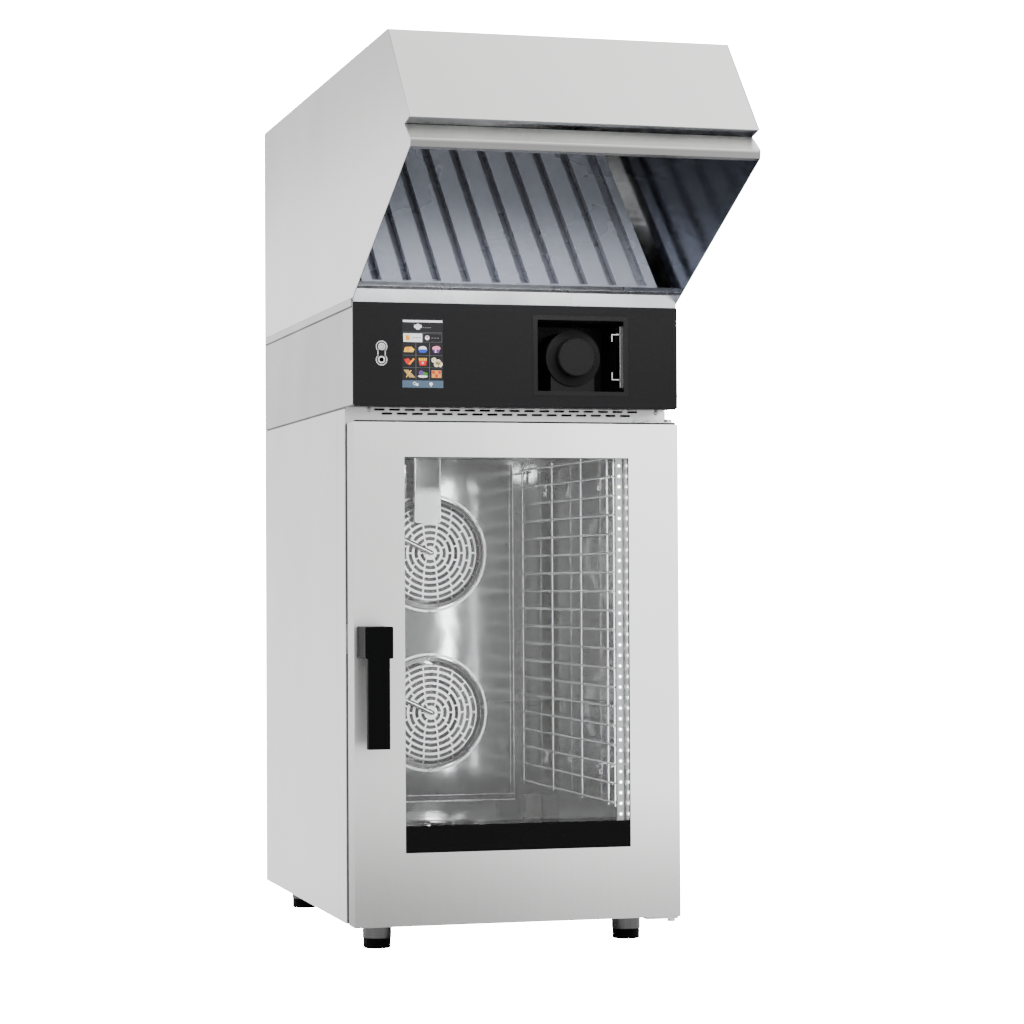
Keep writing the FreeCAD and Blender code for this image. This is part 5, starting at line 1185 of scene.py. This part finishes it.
    def _foot(self) -> None:
        """Two plain symbols in the bottom bar."""
        self._dot(0.3, 0.06, 0.04, Picture.WHITE, 2)
        self._dot(0.3, 0.06, 0.026, Picture.SLATE, 3)
        self._area(0.33, 0.39, 0.03, 0.062, Picture.WHITE, 4)
        self._dot(0.7, 0.058, 0.045, Picture.WHITE, 2, 0.8)
        self._area(0.685, 0.715, 0.02, 0.05, Picture.WHITE, 3)


@dataclass
class ControlPanel(Assembly):
    """Dark glass control panel with display, power button, socket and detergent bay."""

    ring_width: float = 1.5 * MM
    print_step: float = 0.1 * MM
    symbol_radius: float = 2.7 * MM
    # Height of the dark strip under the panel, a painted shadow.
    foot_shadow_height: float = 2.2 * MM
    finishes: ClassVar[dict[str, tuple[str, ...]]] = {
        "black_glass": ("control_glass", "touch_screen", "button_surround", "power_button"),
        "casing_steel": ("control_backplate",),
        "bay_plastic": ("bay_housing",),
        "cap_plastic": ("cartridge",),
        "polished_steel": ("bay_clip",),
        "board_green": ("control_board",),
        "black_plastic": ("cooler_frame", "cooler_wheel"),
    }

    def add_pieces(self) -> None:
        """Draw the display and the marks, then add the cap ring and the dark strip under the panel, a painted
        shadow.
        """
        self._display()
        self._surround_mark()
        self._button_mark()
        self._cap_grip()
        self._foot_shadow_strip()

    def _foot_shadow_strip(self) -> None:
        """Dark strip under the control panel, a painted shadow of the panel's foot."""
        low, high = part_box("control_glass")
        builder = Builder()
        builder.bar((low.x + 2.0 * MM, low.y + 0.4 * MM, low.z - self.foot_shadow_height),
                    (high.x - 2.0 * MM, low.y + 4.0 * MM, low.z - HAIR))
        self.stock.piece("panel_foot_shadow_strip", builder, ("bay_plastic",), "oven", "black_plastic")

    def _display(self) -> None:
        """The page shown on the display."""
        low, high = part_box("touch_screen")
        picture = ScreenPicture(low.x, low.z, high.x - low.x, high.z - low.z, low.y)
        inks = tuple(ink.finish for ink in Picture)
        self.stock.piece("screen_picture", picture.draw(), inks, "oven", "black_glass")

    def _surround_mark(self) -> None:
        """White line round the button and the socket, and the socket's ring."""
        low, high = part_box("button_surround")
        x = (low.x + high.x) / 2
        radius = (high.x - low.x) / 2
        top, foot = high.z - radius, low.z + radius
        back = low.y - HAIR
        front = back - self.print_step
        width = self.ring_width
        waist = math.degrees(math.acos(0.38))
        builder = Builder()
        edge = radius - width
        builder.slab(arc_band(x, top, edge, width, -90 + waist * 0.62, 270 - waist * 0.62), front, back)
        builder.slab(arc_band(x, foot, edge, width, 90 + waist * 0.62, 450 - waist * 0.62), front, back)
        gap = edge * math.sin(math.radians(waist * 0.62))
        for side in (-1, 1):
            x0, x1 = sorted((x + side * gap, x + side * (gap + width)))
            builder.slab(rectangle(x0, x1, foot + edge * 0.55, top - edge * 0.55), front, back)
        builder.slab(arc_band(x, foot, 3.4 * MM, 2.3 * MM, 0, 359.9), front, back)
        self.stock.piece("surround_mark", builder, ("mark_white",), "oven", "black_plastic")

    def _button_mark(self) -> None:
        """White button face with a dark power symbol: an open ring and a stroke."""
        low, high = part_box("power_button")
        x, z = (low.x + high.x) / 2, (low.z + high.z) / 2
        back = low.y - HAIR
        builder = Builder()
        face = back - self.print_step
        builder.slab(circle(x, z, (high.x - low.x) / 2 - 0.9 * MM, 36), face, back)
        ink = face - self.print_step * 0.6
        r = self.symbol_radius
        builder.slab(arc_band(x, z, r, 0.75 * MM, 125, 415), ink, face, 1)
        builder.slab(rectangle(x - 0.4 * MM, x + 0.4 * MM, z + 0.6 * MM, z + r + 1.0 * MM), ink, face, 1)
        self.stock.piece("button_mark", builder, ("mark_white", "bar_ink"), "button", "black_plastic")

    def _cap_grip(self) -> None:
        """Shallow ring on the cartridge's cap."""
        low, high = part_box("cartridge")
        x, z = (low.x + high.x) / 2, (low.z + high.z) / 2
        builder = Builder()
        profile = [(29.0 * MM, 0.0), (28.7 * MM, 0.25 * MM), (28.2 * MM, 0.25 * MM), (27.9 * MM, 0.0),
                   (29.0 * MM, 0.0)]
        builder.lathe(profile, facing((x, low.y, z), FRONT), steps=64)
        self.stock.piece("cap_ring", builder, ("cap_plastic",), "cartridge", "black_plastic")


@dataclass
class Hood(Assembly):
    """Condensing hood with its filter, tray and blower."""

    screw: Screw = field(default_factory=Screw)
    screw_rows: int = 4
    finishes: ClassVar[dict[str, tuple[str, ...]]] = {
        "hood_steel": ("hood_top_cover", "hood_visor"),
        "lip_steel": ("hood_lip",),
        "flange_steel": ("hood_flange",),
        "cheek_steel": ("hood_side_left", "hood_side_right"),
        "strip_steel": ("hood_drip_tray", "filter_rails"),
        "filter_steel": ("grease_filter",),
        "dark_motor": ("hood_blower",),
        "zinc_steel": ("hood_blower_wheel",),
    }

    def add_pieces(self) -> None:
        """Add the screws of the top cover."""
        self._cover_screws()

    def _cover_screws(self) -> None:
        """Screws along the rear of the top cover."""
        builder = Builder()
        self.screw.columns(builder, "hood_top_cover", self.screw_rows)
        self.stock.piece("hood_screws", builder, ("zinc_steel",), "oven", "zinc_steel")


@dataclass
class RearServices(Assembly):
    """Water, drain and mains connections."""

    thread_pitch: float = 1.8 * MM
    thread_radius: float = 13.2 * MM
    thread_start: float = 6.0 * MM
    inlet_height: float = 109.0 * MM
    finishes: ClassVar[dict[str, tuple[str, ...]]] = {
        "brass_valve": ("water_valve",),
        "grey_plastic": ("drain_pipe",),
        "black_plastic": ("cable_gland",),
    }

    def add_pieces(self) -> None:
        """Cut the thread of the water inlet."""
        self._thread()

    def _thread(self) -> None:
        """Rounded thread rings on the water stub."""
        low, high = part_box("water_valve")
        x = (low.x + high.x) / 2
        builder = Builder()
        r = self.thread_radius
        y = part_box("rear_panel")[1].y + self.thread_start
        while y < high.y - 1.2 * MM:
            profile = [(r - 0.2 * MM, 0.0), (r + 0.35 * MM, 0.45 * MM), (r - 0.2 * MM, 0.9 * MM),
                       (r - 0.2 * MM, 0.0)]
            builder.lathe(profile, facing((x, y, self.inlet_height), REAR), steps=40)
            y += self.thread_pitch
        self.stock.piece("inlet_thread", builder, ("brass_valve",), "oven", "brass_valve")


@dataclass
class Lamp:
    """One soft rectangular light."""

    name: str
    place: tuple[float, float, float]
    target: tuple[float, float, float]
    size: tuple[float, float]
    power: float

    def build(self) -> None:
        """Add the light to the scene."""
        data = bpy.data.lights.new(self.name, "AREA")
        data.shape = "RECTANGLE"
        data.size, data.size_y = self.size
        data.energy = self.power
        made = bpy.data.objects.new(self.name, data)
        made.location = self.place
        made.rotation_mode = "QUATERNION"
        made.rotation_quaternion = (Vector(self.target) - Vector(self.place)).to_track_quat("-Z", "Y")
        made.visible_camera = False
        bpy.context.scene.collection.objects.link(made)


@dataclass
class Studio:
    """Pale floor, soft surroundings, lights and camera."""

    floor_size: float = 9.0
    camera_place: tuple[float, float, float] = (-1.1631, -4.4351, 0.5669)
    camera_view: tuple[float, float, float] = (0.26247, 0.96463, 0.02436)
    camera_roll: float = -0.3034
    lens: float = 100.2
    lamps: tuple[Lamp, ...] = (
        Lamp("key", (2.4, -3.4, 2.3), (0.0, 0.0, 0.7), (2.2, 2.2), 60.0),
        Lamp("side", (-3.6, 0.6, 2.2), (0.0, 0.1, 0.6), (2.4, 2.0), 40.0),
        Lamp("cavity_strip", (0.166, -0.148, 0.48), (-0.08, 0.39, 0.48), (0.012, 0.55), 1.7),
        Lamp("cavity_roof", (0.05, -0.1, 0.776), (0.02, 0.35, 0.6), (0.05, 0.012), 0.35),
        Lamp("hood_mouth", (0.0, -0.52, 1.16), (0.0, 0.05, 1.1), (0.5, 0.1), 3.4),
    )

    def build(self) -> None:
        """Make everything round the object."""
        self._floor()
        self._surroundings()
        for lamp in self.lamps:
            lamp.build()
        self._camera()

    def _floor(self) -> None:
        """Plain pale floor."""
        half = self.floor_size
        data = bpy.data.meshes.new("floor")
        corners = [(-half, -half, 0), (half, -half, 0), (half, half, 0), (-half, half, 0)]
        data.from_pydata(corners, [], [(0, 1, 2, 3)])
        material = bpy.data.materials.new("pale_floor")
        material.use_nodes = True
        graph = Graph(material.node_tree)
        shader = material.node_tree.nodes["Principled BSDF"]
        shader.inputs["Base Color"].default_value = rgba((0.86, 0.86, 0.86))
        shader.inputs["Roughness"].default_value = 0.7
        shader.inputs["Specular IOR Level"].default_value = 0.1
        shader.inputs["Emission Color"].default_value = rgba((1.0, 1.0, 1.0))
        path = graph.add("ShaderNodeLightPath")
        glow = graph.math("MULTIPLY", path.outputs["Is Camera Ray"], BACKDROP_GLOW)
        graph.join(glow, shader.inputs["Emission Strength"])
        data.materials.append(material)
        floor = bpy.data.objects.new("floor", data)
        bpy.context.scene.collection.objects.link(floor)

    def _surroundings(self) -> None:
        """Soft white room, a little brighter overhead and to the right."""
        world = bpy.data.worlds.new("studio")
        world.use_nodes = True
        bpy.context.scene.world = world
        graph = Graph(world.node_tree)
        ground = world.node_tree.nodes["Background"]
        way = graph.add("ShaderNodeSeparateXYZ", {0: graph.add("ShaderNodeTexCoord").outputs["Generated"]})
        height = graph.remap(way.outputs[2], (-0.1, 0.9), (1.75, 1.95))
        right = graph.remap(way.outputs[0], (-0.6, 0.6), (0.94, 1.08))
        level = graph.math("MULTIPLY", height, right)
        camera = graph.add("ShaderNodeLightPath").outputs["Is Camera Ray"]
        glow = graph.math("MULTIPLY", camera, BACKDROP_GLOW)
        graph.join(graph.math("ADD", level, glow), ground.inputs["Strength"])
        ground.inputs["Color"].default_value = rgba((1.0, 1.0, 1.0))

    def _camera(self) -> None:
        """Long lens a little below the oven's middle, front left of it."""
        forward = Vector(self.camera_view).normalized()
        right = Vector((forward.y, -forward.x, 0.0)).normalized()
        up = right.cross(forward)
        roll = math.radians(self.camera_roll)
        across = right * math.cos(roll) + up * math.sin(roll)
        upright = up * math.cos(roll) - right * math.sin(roll)
        data = bpy.data.cameras.new("camera")
        data.lens = self.lens
        data.sensor_width = 36.0
        data.dof.use_dof = False
        camera = bpy.data.objects.new("camera", data)
        turn = Matrix((across, upright, -forward)).transposed().to_4x4()
        camera.matrix_world = Matrix.Translation(Vector(self.camera_place)) @ turn
        bpy.context.scene.collection.objects.link(camera)
        bpy.context.scene.camera = camera


def main() -> None:
    """Build every sub-assembly in order, then the studio."""
    logging.basicConfig(level=logging.INFO, format="%(name)s: %(message)s")
    stock = Stock()
    for assembly in (Casing(stock), Door(stock), Cavity(stock), ControlPanel(stock), Hood(stock),
                     RearServices(stock)):
        log.info("building %s", type(assembly).__name__)
        assembly.build()
    Studio().build()


if __name__ == "__main__":
    main()
